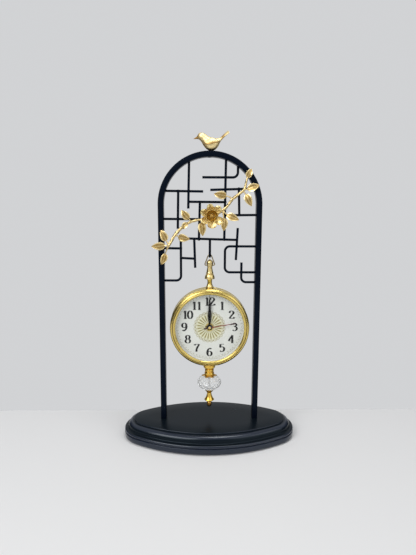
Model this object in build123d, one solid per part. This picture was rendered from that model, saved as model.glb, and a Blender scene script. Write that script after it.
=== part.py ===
from build123d import *
import os
from math import asin, atan2, cos, degrees, hypot, radians, sin, sqrt, tan

# Desk clock that hangs from a lattice inside a black arch on an oval base.
# Millimetres, +Z up, the dial faces -Y, and the origin is on the table under the middle of the base.

# Base board with a routed edge, on four soft pads.
BASE_LENGTH = 222.0
BASE_DEPTH = 109.0
BASE_HEIGHT = 21.5
BASE_END_RADIUS = 34.0
EDGE_BEAD = 2.5
EDGE_LEDGE = 1.0
EDGE_COVE = 3.0
EDGE_ROUND = 5.0
EDGE_STEP = 2.0
EDGE_BACKING = 2.0
PAD_THICKNESS = 1.5
PAD_DIAMETER = 14.0
PAD_SPACING_X = 150.0
PAD_SPACING_Y = 44.0

# Clock case, which sets the width of the arch around it.
CASE_DIAMETER = 100.0
CASE_WALL = 3.0
CASE_FRONT = 10.0
CASE_BACK = 11.0
RIM_ROUND = 1.4
SWING_GAP = 6.0

# Arch: one flat bar bent round, with its two legs screwed down through the base.
BAR_FACE = 7.0
BAR_DEPTH = 12.0
BAR_EDGE = 0.8
ARCH_RISE = 1.5
LEG_SCREW = 4.0
LEG_SCREW_GRIP = 14.0
LEG_SCREW_HEAD = 7.5
LEG_SCREW_HEAD_HEIGHT = 3.0
LEG_WASHER = 8.6
LEG_WASHER_THICKNESS = 0.8
COUNTERBORE = 9.4
COUNTERBORE_DEPTH = 6.0
FIT = 0.05

# Lattice rods. Heights are measured from a line just below the centre of the arch.
ROD = 3.0
ROD_BEND = 6.0
HIGH_LEFT = 17.8
HIGH_RIGHT = 20.4
UPPER = 5.0
MID_RIGHT = -10.7
MID_LEFT = -15.7
LOWER = -40.1
LEFT_STUB = -51.5
LEFT_LINK = -64.0
TOP_BEND = 34.2
LOOP_TOP = -49.0
LOOP_BOTTOM = -81.5
LEFT_BEND = -91.4
RIGHT_BEND = -93.5
FAR_LEFT_X = -38.8
LEFT_BEND_X = -35.7
LEFT_X = -25.7
HANGING_X = -18.7
NEAR_LEFT_X = -12.9
NEAR_RIGHT_X = 18.2
LOOP_X = 18.8
RIGHT_X = 33.1
TOP_BEND_X = 33.4
FAR_RIGHT_X = 35.1
RIGHT_BEND_X = 39.2
LEFT_FOOT = -3.0
FAR_LEFT_FOOT = -27.3
HANGING_FOOT = -75.3
RIGHT_HEAD = -26.2
RIGHT_FOOT = -65.6
RIGHT_BEND_HEAD = -68.7
HIGH_LEFT_END = -8.3
HIGH_RIGHT_END = 0.2
TOP_BEND_END = -9.4

# Hook at the foot of the hanger rod, and the wire bow that hangs in it.
HOOK_CENTRE = -61.7
HOOK_RADIUS = 2.75
HOOK_TIP = 2.5
HANG_CLEARANCE = 0.2
BOW_WIRE = 1.3
BOW_DROP = 10.9
BOW_HALF_WIDTH = 6.6
BOW_CORNER = 1.4
BOW_PIN = 2.9

# Turned pendant between the bow and the case: knob, cap and stem, as radii and heights.
KNOB_TOP = 7.6
KNOB_BULGE_HEIGHT = 2.4
KNOB_BULGE = 4.2
KNOB_TIP = 1.3
KNOB_TIP_HEIGHT = 1.2
KNOB_WAIST_DROP = 2.6
KNOB_WAIST = 2.9
FLARE_HEIGHT = 7.7
FLARE = 4.9
FLARE_HOLLOW = 0.5
CAP_HEIGHT = 6.6
CAP_BRIM = 6.5
CAP_BRIM_HEIGHT = 0.9
CAP_TOP = 4.2
CAP_SWELL = 0.7
STEM_HEIGHT = 12.1
STEM_NECK = 2.8
STEM_NECK_HEIGHT = 7.8
STEM_TOP = 3.2
STEM_FLANGE = 4.9
STEM_FLANGE_HEIGHT = 2.2
PENDANT_STUD = 3.0
PENDANT_STUD_REACH = 5.0
TENON = 4.0

# Finial below the case: collar, cup, cut crystal bead and tip on one tie rod, clear of the base.
FINIAL_CLEARANCE = 13.7
COLLAR_HEIGHT = 14.4
COLLAR_FLANGE = 7.6
COLLAR_FLANGE_HEIGHT = 7.2
COLLAR_GROOVE = 4.9
COLLAR_GROOVE_HEIGHT = 0.9
COLLAR_RING = 5.6
COLLAR_RING_SWELL = 0.6
COLLAR_TAPER = 5.0
COLLAR_TAPER_WIDTH = 7.0
CUP_RADIUS = 10.2
CUP_HEIGHT = 1.6
BEAD_RADIUS = 14.8
BEAD_HEIGHT = 18.6
BEAD_FACETS = 8
BEAD_TABLE = 10.6
BEAD_CROWN_TILT = 48.0
BEAD_BELLY = 12.2
BEAD_BELLY_HEIGHT = 3.8
BEAD_BELLY_TILT = -18.0
BEAD_CULET = 6.6
BEAD_CULET_TILT = -56.0
TIP_CUP = 6.0
TIP_CUP_HEIGHT = 4.4
TIP_NECK = 2.7
TIP_SWELL = 0.3
TIP_FLARE = 3.6
TIP_CONE_HEIGHT = 10.0
TIP_BRIM = 6.4
TIP_BRIM_DROP = 2.8
TIP_GROOVE = 2.6
TIP_BUTTON = 3.2
TIP_BUTTON_HEIGHT = 7.4
TIP_SHOULDER = 1.2
TIE_ROD = 2.4
TIE_GRIP = 8.0

# Case contents, measured forward from the back of the dial.
DIAL_THICKNESS = 0.8
DIAL_LEDGE = 5.0
DIAL_LEDGE_THICKNESS = 1.6
SPACER_WALL = 2.6
SPACER_HEIGHT = 5.6
LENS_THICKNESS = 1.6
BEZEL_WIDTH = 3.7
BEZEL_HEIGHT = 1.9
BEZEL_SLOPE = 1.2
STACK_CLEARANCE = 0.1
COVER_THICKNESS = 1.8
COVER_WINDOW_GAP = 0.5
COVER_SCREW = 2.0
COVER_SCREW_HEAD = 3.8
COVER_SCREW_HEAD_HEIGHT = 1.2
COVER_SCREW_GRIP = 4.0
COVER_SCREW_COUNT = 3
BOSS_DIAMETER = 6.0
CLOCK_FORWARD = 1.65

# Quartz movement behind the dial.
MOVEMENT_THICKNESS = 16.0
MOVEMENT_CORNER = 3.0
MOVEMENT_WALL = 1.2
BUSHING = 7.8
BUSHING_HEIGHT = 2.4
WASHER_DIAMETER = 10.6
WASHER_THICKNESS = 0.4
NUT_DIAMETER = 9.4
NUT_THICKNESS = 1.0
CELL_DIAMETER = 14.2
CELL_LENGTH = 49.2
CELL_NUB = 5.2
CELL_NUB_LENGTH = 1.2
CELL_ROOM = 0.2
CONTACT_REACH = 1.6
CONTACT_THICKNESS = 0.5
CONTACT_WIDTH = 9.0

# Wheels of the movement: teeth, centre distances and the layers that they lie in.
SECOND_PINION_TEETH = 6
THIRD_TEETH = 48
THIRD_PINION_TEETH = 6
MINUTE_TEETH = 45
CANNON_TEETH = 10
MOTION_TEETH = 30
MOTION_PINION_TEETH = 8
HOUR_TEETH = 32
SECOND_TEETH = 36
INTERMEDIATE_PINION_TEETH = 6
INTERMEDIATE_TEETH = 30
ROTOR_PINION_TEETH = 6
THIRD_DISTANCE = 9.0
THIRD_ANGLE = 180.0
MOTION_DISTANCE = 9.6
MOTION_ANGLE = 30.0
INTERMEDIATE_DISTANCE = 8.75
INTERMEDIATE_ANGLE = 90.0
ROTOR_DISTANCE = 6.0
WHEEL_THICKNESS = 0.8
LAYER_PITCH = 1.6
FIRST_LAYER = 1.6
PINION_OVERHANG = 0.2
ADDENDUM = 0.6
DEDENDUM = 0.9
TOOTH_TIP_SHARE = 0.08
TOOTH_ROOT_SHARE = 0.25
HOUR_PIPE = 5.0
MINUTE_PIPE = 3.3
SECOND_ARBOR = 1.0
WHEEL_ARBOR = 0.8
MOTION_ARBOR = 1.2
PIVOT_DEPTH = 0.6
MAGNET_DIAMETER = 5.0
MAGNET_HEIGHT = 2.4
MAGNET_GAP = 0.5
STATOR_THICKNESS = 1.0
STATOR_ARM = 3.0
STATOR_HALF_WIDTH = 12.0
STATOR_BELOW_ROTOR = 3.7
STATOR_ABOVE_ROTOR = 3.3
CORE_ABOVE_ROTOR = 6.8
CORE_WIDTH = 2.0
COIL_DIAMETER = 4.6
COIL_LENGTH = 14.0
COIL_FLANGE = 5.0
COIL_FLANGE_THICKNESS = 1.0
BOARD_WIDTH = 11.5
BOARD_HEIGHT = 26.0
BOARD_THICKNESS = 1.0
BOARD_FOOT_GAP = 4.0
KNOB_DIAMETER = 9.0
KNOB_HEIGHT = 3.0
KNOB_NOTCH = 1.2
KNOB_NOTCHES = 12
KNOB_STANDOFF = 0.4

# Hands, from the middle of the dial.
HAND_THICKNESS = 0.4
HAND_STEM = 1.6
HOUR_LENGTH = 27.0
HOUR_SWELL = 21.0
HOUR_SWELL_WIDTH = 4.4
HOUR_HUB = 3.7
MINUTE_LENGTH = 40.5
MINUTE_SWELL = 30.0
MINUTE_SWELL_WIDTH = 3.2
MINUTE_HUB = 3.0
SECOND_LENGTH = 34.0
SECOND_TAIL = 8.0
SECOND_TAIL_WIDTH = 1.8
SECOND_WIDTH = 0.9
SECOND_POINT = 0.45
SECOND_HUB = 1.5
SECOND_TUBE_HEIGHT = 1.0
SECOND_ANGLE = -80.0
HAND_GAP = 0.7

# Branch, flower and bird of cast and stamped brass.
STEM = 3.2
STALK = 1.9
STEM_POINT = 1.0
STEM_BEND = 4.0
LEAF_THICKNESS = 0.8
LEAF_BEND = 22.0
LEAF_RIB = 1.3
LEAF_RIB_RISE = 0.35
BAR_LIFT = 1.4
FLOWER_X = 2.2
FLOWER_HEIGHT = -11.4
PETAL_THICKNESS = 0.8
PETAL_COUNT = 6
OUTER_PETAL_REACH = 14.3
OUTER_PETAL_WIDTH = 11.6
OUTER_PETAL_CUP = 20.0
INNER_PETAL_REACH = 8.2
INNER_PETAL_WIDTH = 7.4
INNER_PETAL_CUP = 9.0
FLOWER_RIVET = 2.4
FLOWER_BOSS = 2.8
BIRD_X = -1.0
BEAK_LENGTH = 5.2
BEAK_DROOP = 1.6
BEAK_POINT = 0.25
WING_LENGTH = 17.0
WING_WIDTH = 8.0
WING_THICKNESS = 2.6
WING_DOME = 16.0
WING_INSET = 5.2
WING_TILT = 0.25
WING_PITCH = 5.0
WING_FORWARD = 5.0
WING_HEIGHT = 10.4
BIRD_SCREW = 3.0
BIRD_SCREW_GRIP = 5.0
BIRD_SCREW_HEAD = 5.5
BIRD_SCREW_HEAD_HEIGHT = 2.0

# Places that follow from the driving dimensions, from the table up.
BASE_TOP = PAD_THICKNESS + BASE_HEIGHT
CASE_RADIUS = CASE_DIAMETER / 2
TIP_HEIGHT = TIP_CUP_HEIGHT + TIP_CONE_HEIGHT + TIP_BRIM_DROP + TIP_BUTTON_HEIGHT
FINIAL_HEIGHT = COLLAR_HEIGHT + CUP_HEIGHT + BEAD_HEIGHT + TIP_HEIGHT
CLOCK_Z = BASE_TOP + FINIAL_CLEARANCE + FINIAL_HEIGHT + CASE_RADIUS
CASE_TOP_Z = CLOCK_Z + CASE_RADIUS
CAP_Z = CASE_TOP_Z + STEM_HEIGHT
PIVOT_Z = CAP_Z + CAP_HEIGHT + FLARE_HEIGHT + KNOB_WAIST_DROP
HOOK_Z = PIVOT_Z + BOW_DROP
LATTICE_Z = HOOK_Z - HOOK_CENTRE
ARCH_Z = LATTICE_Z + ARCH_RISE
ARCH_INNER = CASE_RADIUS + SWING_GAP
ARCH_MID = ARCH_INNER + BAR_FACE / 2
ARCH_OUTER = ARCH_INNER + BAR_FACE
ARCH_TOP = ARCH_Z + ARCH_OUTER
LEG_HEIGHT = ARCH_Z - BASE_TOP
BAR_FRONT = -BAR_DEPTH / 2
UPRIGHT_Y = -ROD / 2
CROSSBAR_Y = ROD / 2
STEM_Y = -(ROD + STEM / 2)
HANG_Y = UPRIGHT_Y + HOOK_RADIUS
CLOCK_Y = HANG_Y - CLOCK_FORWARD
MOVEMENT_WIDTH = CELL_LENGTH + CELL_NUB_LENGTH + 2 * (CONTACT_REACH + MOVEMENT_WALL)

made = {}


def turned(*edges):
    """Solid of revolution about Z from a closed outline drawn as radius and height."""
    return revolve(Plane.XZ * make_face(edges), Axis.Z)


def cylinder(radius, low, high, x=0, y=0):
    """Upright round bar between two heights."""
    return Pos(x, y, low) * extrude(Circle(radius), high - low)


def cross_cylinder(radius, length, x, y, z):
    """Round bar along X, centred on a point."""
    return Pos(x, y, z) * Rot(0, 90, 0) * Cylinder(radius, length)


def case_cylinder(radius):
    """Cylinder round the axis of the case, longer than the case is deep."""
    length = 4 * (CASE_FRONT + CASE_BACK)
    return Pos(0, CLOCK_Y, CLOCK_Z) * Rot(90, 0, 0) * Cylinder(radius, length)


# Base board: the routed edge is turned round the four arcs of the oval, then filled in.
half_length = BASE_LENGTH / 2
half_depth = BASE_DEPTH / 2
side_radius = (half_length**2 + half_depth**2 - 2 * half_length * BASE_END_RADIUS) / (
    2 * (half_depth - BASE_END_RADIUS)
)
end_centre = half_length - BASE_END_RADIUS
side_centre = side_radius - half_depth
end_half_angle = degrees(atan2(side_centre, end_centre))

side_height = BASE_HEIGHT - EDGE_BEAD - EDGE_COVE - EDGE_ROUND - EDGE_STEP
cove_in = -EDGE_BEAD - EDGE_LEDGE
round_in = cove_in - EDGE_COVE
step_in = round_in - EDGE_ROUND - EDGE_LEDGE
cove_height = side_height + EDGE_BEAD
round_height = cove_height + EDGE_COVE
step_height = round_height + EDGE_ROUND
backing_in = step_in - EDGE_BACKING
edge_profile = make_face(
    [
        Line((0, 0), (0, side_height)),
        CenterArc((-EDGE_BEAD, side_height), EDGE_BEAD, 0, 90),
        Line((-EDGE_BEAD, cove_height), (cove_in, cove_height)),
        CenterArc((cove_in, round_height), EDGE_COVE, -90, -90),
        CenterArc((round_in - EDGE_ROUND, round_height), EDGE_ROUND, 0, 90),
        Line((round_in - EDGE_ROUND, step_height), (step_in, step_height)),
        Line((step_in, step_height), (step_in, BASE_HEIGHT)),
        Line((step_in, BASE_HEIGHT), (backing_in, BASE_HEIGHT)),
        Line((backing_in, BASE_HEIGHT), (backing_in, 0)),
        Line((backing_in, 0), (0, 0)),
    ]
)
oval_arcs = [
    (end_centre, 0, BASE_END_RADIUS, -end_half_angle, 2 * end_half_angle),
    (0, -side_centre, side_radius, end_half_angle, 180 - 2 * end_half_angle),
    (-end_centre, 0, BASE_END_RADIUS, 180 - end_half_angle, 2 * end_half_angle),
    (0, side_centre, side_radius, 180 + end_half_angle, 180 - 2 * end_half_angle),
]
board_outline = [
    CenterArc((x, y), radius + step_in, start, turn) for x, y, radius, start, turn in oval_arcs
]
base = extrude(make_face(board_outline), BASE_HEIGHT)
for x, y, radius, start, turn in oval_arcs:
    section = Plane.XZ * (Pos(radius, 0) * edge_profile)
    base += Location((x, y, 0), (0, 0, start)) * revolve(section, Axis.Z, turn)
base = Pos(0, 0, PAD_THICKNESS) * base

leg_places = [(-ARCH_MID, 0), (ARCH_MID, 0)]
screw_seat = PAD_THICKNESS + COUNTERBORE_DEPTH
for x, y in leg_places:
    base -= cylinder(LEG_SCREW / 2 + FIT, 0, BASE_TOP, x, y)
    base -= cylinder(COUNTERBORE / 2, 0, screw_seat, x, y)
made["base"] = base

pad_places = GridLocations(PAD_SPACING_X, PAD_SPACING_Y, 2, 2)
made["base_pads"] = [place * cylinder(PAD_DIAMETER / 2, 0, PAD_THICKNESS) for place in pad_places]

head_top = screw_seat - LEG_WASHER_THICKNESS
made["leg_washers"] = [
    cylinder(LEG_WASHER / 2, head_top, screw_seat, x, y)
    - cylinder(LEG_SCREW / 2 + FIT, head_top, screw_seat, x, y)
    for x, y in leg_places
]
made["leg_screws"] = [
    cylinder(LEG_SCREW_HEAD / 2, head_top - LEG_SCREW_HEAD_HEIGHT, head_top, x, y)
    + cylinder(LEG_SCREW / 2, head_top, BASE_TOP + LEG_SCREW_GRIP, x, y)
    for x, y in leg_places
]

# Arch: the bar's rounded section runs up one leg, round the top and down the other leg.
bar_section = RectangleRounded(BAR_FACE, BAR_DEPTH, BAR_EDGE)
arch_axis = Axis((0, 0, ARCH_Z), (0, 1, 0))
arch = revolve(Pos(ARCH_MID, 0, ARCH_Z) * bar_section, arch_axis, -180)
for x, y in leg_places:
    arch += Pos(x, y, BASE_TOP) * extrude(bar_section, LEG_HEIGHT)
    arch -= cylinder(LEG_SCREW / 2 + FIT, BASE_TOP, BASE_TOP + LEG_SCREW_GRIP + 2 * FIT, x, y)
arch -= cylinder(BIRD_SCREW / 2 + FIT, ARCH_Z, ARCH_TOP, BIRD_X)
made["arch_frame"] = arch

# Space inside the arch, where the ends of the lattice rods meet the bar.
arch_space = Pos(0, 0, ARCH_Z) * Rot(90, 0, 0) * Cylinder(ARCH_INNER, BAR_DEPTH)
arch_space += Pos(0, 0, ARCH_Z - LEG_HEIGHT / 2) * Box(2 * ARCH_INNER, BAR_DEPTH, LEG_HEIGHT)


def rod(points, y):
    """Welded lattice rod through points in the plane of the arch, cut off where it meets the bar."""
    path = [Vector(x, y, LATTICE_Z + height) for x, height in points]
    line = Line(*path) if len(path) == 2 else FilletPolyline(*path, radius=ROD_BEND)
    wire = sweep(Plane(line @ 0, z_dir=line % 0) * Circle(ROD / 2), path=line)
    return wire & arch_space


# Uprights: place, lean to the right on the way up, upper end and lower end.
LAP = ROD / 2
TO_THE_BAR = ARCH_OUTER
uprights = [
    (FAR_LEFT_X, 0.9, HIGH_LEFT + LAP, FAR_LEFT_FOOT),
    (LEFT_X, 1.4, TO_THE_BAR, LEFT_FOOT),
    (HANGING_X, -1.2, LOWER + LAP, HANGING_FOOT),
    (NEAR_LEFT_X, 1.3, UPPER + LAP, LOWER - LAP),
    (NEAR_RIGHT_X, 1.3, TO_THE_BAR, LOWER - LAP),
    (RIGHT_X, 1.8, RIGHT_HEAD, RIGHT_FOOT),
    (FAR_RIGHT_X, -1.0, HIGH_RIGHT + LAP, MID_RIGHT - LAP),
]
made["lattice_uprights"] = [
    rod([(x + lean / 2, high), (x - lean / 2, low)], UPRIGHT_Y) for x, lean, high, low in uprights
]

# Crossbars behind the uprights: height, rise to the right, left end and right end.
crossbars = [
    (HIGH_LEFT, -0.6, -TO_THE_BAR, HIGH_LEFT_END),
    (HIGH_RIGHT, 2.0, HIGH_RIGHT_END, TO_THE_BAR),
    (UPPER, -0.3, LEFT_X - LAP, NEAR_RIGHT_X + LAP),
    (MID_RIGHT, 0.5, NEAR_RIGHT_X - LAP, TO_THE_BAR),
    (MID_LEFT, -0.3, -TO_THE_BAR, NEAR_LEFT_X + LAP),
    (LOWER, -1.9, LEFT_BEND_X - LAP, RIGHT_X + LAP),
    (LEFT_STUB, -0.4, -TO_THE_BAR, LEFT_BEND_X + LAP),
    (LEFT_LINK, -1.0, LEFT_BEND_X - LAP, HANGING_X + LAP),
]
made["lattice_crossbars"] = [
    rod([(left, height - rise / 2), (right, height + rise / 2)], CROSSBAR_Y)
    for height, rise, left, right in crossbars
]

# Bent rods: two that turn into a leg, one that turns up into the arch, and a loop.
made["lattice_top_bend"] = rod(
    [(TOP_BEND_END, TOP_BEND), (TOP_BEND_X, TOP_BEND), (TOP_BEND_X, TO_THE_BAR)], CROSSBAR_Y
)
made["lattice_left_bend"] = rod(
    [(LEFT_BEND_X, LOWER + LAP), (LEFT_BEND_X, LEFT_BEND), (-TO_THE_BAR, LEFT_BEND)], UPRIGHT_Y
)
made["lattice_right_bend"] = rod(
    [(RIGHT_BEND_X, RIGHT_BEND_HEAD), (RIGHT_BEND_X, RIGHT_BEND), (TO_THE_BAR, RIGHT_BEND)], UPRIGHT_Y
)
made["lattice_right_loop"] = rod(
    [(TO_THE_BAR, LOOP_TOP), (LOOP_X, LOOP_TOP), (LOOP_X, LOOP_BOTTOM), (TO_THE_BAR, LOOP_BOTTOM)],
    CROSSBAR_Y,
)

# Hanger rod: straight down from the lower crossbar, then turned back into a hook.
hook_start = HOOK_Z + HOOK_RADIUS
hanger_line = Line((0, UPRIGHT_Y, LATTICE_Z + LOWER + LAP), (0, UPRIGHT_Y, hook_start))
hook_line = ThreePointArc(
    (0, UPRIGHT_Y, hook_start), (0, HANG_Y, HOOK_Z), (0, HANG_Y + HOOK_RADIUS, hook_start)
)
tip_line = Line(
    (0, HANG_Y + HOOK_RADIUS, hook_start), (0, HANG_Y + HOOK_RADIUS, hook_start + HOOK_TIP)
)
hanger_path = Wire([hanger_line, hook_line, tip_line])
made["hanger_rod"] = sweep(Plane(hanger_path @ 0, z_dir=(0, 0, -1)) * Circle(ROD / 2), path=hanger_path)

# Branch: the main stem, then stalks that carry the leaves in front of the lattice and the bar.
FRONT_Y = BAR_FRONT - STEM / 2 - HANG_CLEARANCE
MIDDLE_Y = (STEM_Y + FRONT_Y) / 2
LEAF_Y = BAR_FRONT - BAR_LIFT
NODE_LEFT = (-51.4, FRONT_Y, -49.7)
TOP_LEAF_BASE = (43.4, FRONT_Y, 32.0)
stem_points = [
    NODE_LEFT,
    (-41.1, MIDDLE_Y, -32.7),
    (-29.0, STEM_Y, -21.7),
    (-17.1, STEM_Y, -17.1),
    (-4.2, STEM_Y, -14.7),
    (12.2, STEM_Y, -7.0),
    (19.0, STEM_Y, -1.8),
    (26.8, MIDDLE_Y, 8.4),
    (40.6, FRONT_Y, 19.5),
    TOP_LEAF_BASE,
]


def on_lattice(point):
    """Point whose height is measured as the lattice's heights are."""
    x, y, height = point
    return Vector(x, y, LATTICE_Z + height)


# Leaves: where the stalk leaves the stem, where the leaf starts, its tip and its width.
leaves = [
    (NODE_LEFT, (-54.6, LEAF_Y, -58.6), (-59.4, LEAF_Y, -70.9), 7.4),
    ((-50.6, FRONT_Y, -48.4), (-55.4, LEAF_Y, -47.4), (-71.3, LEAF_Y, -48.5), 8.6),
    ((-49.8, FRONT_Y, -47.1), (-53.6, LEAF_Y, -40.8), (-59.4, LEAF_Y, -28.6), 8.0),
    ((-42.5, MIDDLE_Y, -35.0), (-37.8, MIDDLE_Y, -36.8), (-24.5, LEAF_Y, -39.6), 8.4),
    ((-27.0, STEM_Y, -20.9), (-27.6, LEAF_Y, -19.6), (-34.0, LEAF_Y, -27.6), 6.0),
    ((-23.2, STEM_Y, -19.4), (-25.8, LEAF_Y, -14.4), (-34.4, LEAF_Y, -4.9), 8.0),
    ((-10.4, STEM_Y, -15.9), (-10.6, LEAF_Y, -20.4), (-8.8, LEAF_Y, -35.8), 8.6),
    ((14.6, STEM_Y, -5.2), (17.0, LEAF_Y, -15.6), (16.2, LEAF_Y, -29.6), 8.0),
    ((14.6, STEM_Y, -5.2), (20.6, LEAF_Y, -11.4), (34.9, LEAF_Y, -16.5), 8.0),
    ((26.8, MIDDLE_Y, 8.4), (18.6, LEAF_Y, 12.6), (4.3, LEAF_Y, 14.5), 8.6),
    ((39.6, FRONT_Y, 18.7), (45.2, LEAF_Y, 19.9), (58.7, LEAF_Y, 24.9), 8.0),
    ((38.4, FRONT_Y, 17.7), (43.3, LEAF_Y, 13.4), (49.7, LEAF_Y, -0.1), 8.0),
    (TOP_LEAF_BASE, (44.0, LEAF_Y, 34.0), (48.8, LEAF_Y, 43.7), 6.8),
]
stem_path = FilletPolyline(*[on_lattice(point) for point in stem_points], radius=STEM_BEND)
stem_start = Plane(stem_path @ 0, z_dir=stem_path % 0)
branch = sweep(stem_start * Circle(STEM / 2), path=stem_path)
branch += stem_start * Pos(0, 0, -STEM / 2) * Cone(STEM_POINT / 2, STEM / 2, STEM)
stalks = []
for root, start, _, _ in leaves:
    run = on_lattice(start) - on_lattice(root)
    stalks.append(Plane(on_lattice(root), z_dir=run) * cylinder(STALK / 2, 0, run.length))
    branch += stalks[-1]
made["branch_stem"] = branch


def lens_outline(length, width):
    """Pointed oval along X that starts at the origin."""
    middle = length / 2
    return make_face(
        [
            ThreePointArc((0, 0), (middle, width / 2), (length, 0)),
            ThreePointArc((length, 0), (middle, -width / 2), (0, 0)),
        ]
    )


def bent_strip(length, width, low, high):
    """Pointed strip along X of sheet bent over a drum, between two radii of the bend."""
    depth = sqrt(LEAF_BEND**2 - (length / 2) ** 2)
    bend = Pos(length / 2, 0, -depth) * Rot(90, 0, 0)
    sheet = bend * Cylinder(high, width) - bend * Cylinder(low, width)
    outline = lens_outline(length, width)
    return sheet & (extrude(outline, high - depth) + extrude(outline, -LEAF_THICKNESS))


def leaf(start, tip, width):
    """Pointed leaf stamped from sheet and bent along its length, with a raised midrib in front."""
    run = tip - start
    front = LEAF_BEND + LEAF_THICKNESS / 2
    blade = bent_strip(run.length, width, front - LEAF_THICKNESS, front)
    blade += bent_strip(run.length, LEAF_RIB, LEAF_BEND, front + LEAF_RIB_RISE)
    across = Vector(0, -1, 0).cross(run)
    return Plane(start, x_dir=run, z_dir=run.cross(across)) * blade


made["branch_leaves"] = [
    leaf(on_lattice(start), on_lattice(tip), width) - stalk
    for (_, start, tip, width), stalk in zip(leaves, stalks)
]


# Flower: two stamped and cupped layers of petals, held to the stem by the rivet of the centre boss.
def petal_layer(reach, width, cup):
    """Rosette of round petals cut from a spherical cup that opens along Z, with the rivet hole."""
    rosette = Circle(reach - width / 2)
    for place in PolarLocations(reach - width / 2, PETAL_COUNT):
        rosette += place * Circle(width / 2)
    ball = Pos(0, 0, cup)
    skin = ball * Sphere(cup) - ball * Sphere(cup - PETAL_THICKNESS)
    skin -= cylinder(FLOWER_RIVET / 2 + FIT, 0, cup)
    return skin & extrude(rosette, cup - sqrt(cup**2 - reach**2) + PETAL_THICKNESS)


flower_back = STEM_Y - STEM / 2
flower_place = on_lattice((FLOWER_X, flower_back, FLOWER_HEIGHT))
flower_plane = Plane(flower_place, x_dir=(1, 0, 0), z_dir=(0, -1, 0))
made["flower_outer_petals"] = flower_plane * petal_layer(
    OUTER_PETAL_REACH, OUTER_PETAL_WIDTH, OUTER_PETAL_CUP
)
inner_layer = Rot(0, 0, 180 / PETAL_COUNT) * petal_layer(
    INNER_PETAL_REACH, INNER_PETAL_WIDTH, INNER_PETAL_CUP
)
made["flower_inner_petals"] = flower_plane * (Pos(0, 0, PETAL_THICKNESS) * inner_layer)
boss_seat = 2 * PETAL_THICKNESS + FIT
boss_rise = INNER_PETAL_CUP - sqrt(INNER_PETAL_CUP**2 - FLOWER_BOSS**2)
flower_centre = cylinder(FLOWER_RIVET / 2, 0, boss_seat + boss_rise)
dome = Sphere(FLOWER_BOSS) & Pos(0, 0, FLOWER_BOSS) * Box(2 * FLOWER_BOSS, 2 * FLOWER_BOSS, 2 * FLOWER_BOSS)
flower_centre += Pos(0, 0, boss_seat + boss_rise) * dome
made["flower_centre"] = flower_plane * flower_centre

# Bird: head, body and tail lofted through oval sections, with a beak and folded wings. It is cut to
# sit on the arch and a screw from below holds it. Sections from beak to tail: place along X from the
# screw, height above the arch, half height, half width and slope of the spine.
body_sections = [
    (-13.9, 15.3, 1.7, 1.6, 10),
    (-12.2, 16.0, 3.6, 3.2, 5),
    (-9.6, 16.2, 4.8, 4.3, -12),
    (-6.2, 13.6, 5.6, 4.9, -38),
    (-2.4, 9.4, 7.4, 6.4, -32),
    (2.6, 7.2, 8.2, 7.1, 0),
    (7.4, 8.4, 5.8, 6.0, 28),
    (11.2, 11.6, 2.8, 4.2, 44),
    (13.6, 14.0, 1.5, 3.3, 46),
]
tail_sections = [body_sections[-1], (18.4, 18.9, 0.9, 2.9, 45), (23.4, 23.6, 0.6, 3.7, 43)]


def bird_section(along, height, half_height, half_width, slope):
    """Oval across the bird's spine."""
    run = (cos(radians(slope)), 0, sin(radians(slope)))
    across = Plane((BIRD_X + along, 0, ARCH_TOP + height), x_dir=(0, 1, 0), z_dir=run)
    return across * Ellipse(half_width, half_height)


bird = loft([bird_section(*section) for section in body_sections])
bird += loft([bird_section(*section) for section in tail_sections])
face_x, face_height, face_rise, face_width, face_slope = body_sections[0]
beak_tip = (face_x - BEAK_LENGTH, face_height - BEAK_DROOP, BEAK_POINT, BEAK_POINT, face_slope)
bird += loft([bird_section(*beak_tip), bird_section(*body_sections[0])])
wing = extrude(lens_outline(WING_LENGTH, WING_WIDTH), WING_THICKNESS)
wing &= Pos(WING_LENGTH / 2, 0, WING_THICKNESS - WING_DOME) * Sphere(WING_DOME)
pitch = radians(WING_PITCH)
for side in (-1, 1):
    shoulder = (BIRD_X - WING_FORWARD, side * WING_INSET, ARCH_TOP + WING_HEIGHT)
    wing_plane = Plane(shoulder, x_dir=(cos(pitch), 0, sin(pitch)), z_dir=(0, side, WING_TILT))
    bird += wing_plane * wing
bird -= Pos(0, 0, ARCH_Z) * Rot(90, 0, 0) * Cylinder(ARCH_OUTER, BAR_DEPTH + WING_LENGTH)
screw_top = ARCH_TOP + BIRD_SCREW_GRIP
bird -= cylinder(BIRD_SCREW / 2 + FIT, ARCH_Z, screw_top + 2 * FIT, BIRD_X)
made["bird"] = bird
screw_under = ARCH_Z + sqrt(ARCH_INNER**2 - (abs(BIRD_X) + BIRD_SCREW_HEAD / 2) ** 2)
bird_screw = cylinder(BIRD_SCREW / 2, screw_under, screw_top, BIRD_X)
bird_screw += cylinder(BIRD_SCREW_HEAD / 2, screw_under - BIRD_SCREW_HEAD_HEIGHT, screw_under, BIRD_X)
made["bird_screw"] = bird_screw

# Bow: wire bent round the hook, spread to both sides and turned in as two pivot pins.
bow_top_radius = ROD / 2 + HANG_CLEARANCE + BOW_WIRE / 2
bow_reach = hypot(BOW_HALF_WIDTH, BOW_DROP)
bow_slope = atan2(BOW_HALF_WIDTH, BOW_DROP) - asin(bow_top_radius / bow_reach)
bow_peak = PIVOT_Z + BOW_HALF_WIDTH / tan(bow_slope)
bow_line = FilletPolyline(
    (-BOW_PIN, HANG_Y, PIVOT_Z),
    (-BOW_HALF_WIDTH, HANG_Y, PIVOT_Z),
    (0, HANG_Y, bow_peak),
    (BOW_HALF_WIDTH, HANG_Y, PIVOT_Z),
    (BOW_PIN, HANG_Y, PIVOT_Z),
    radius=[BOW_CORNER, bow_top_radius, BOW_CORNER],
)
made["hanging_bow"] = sweep(Plane(bow_line @ 0, z_dir=bow_line % 0) * Circle(BOW_WIRE / 2), path=bow_line)

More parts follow.
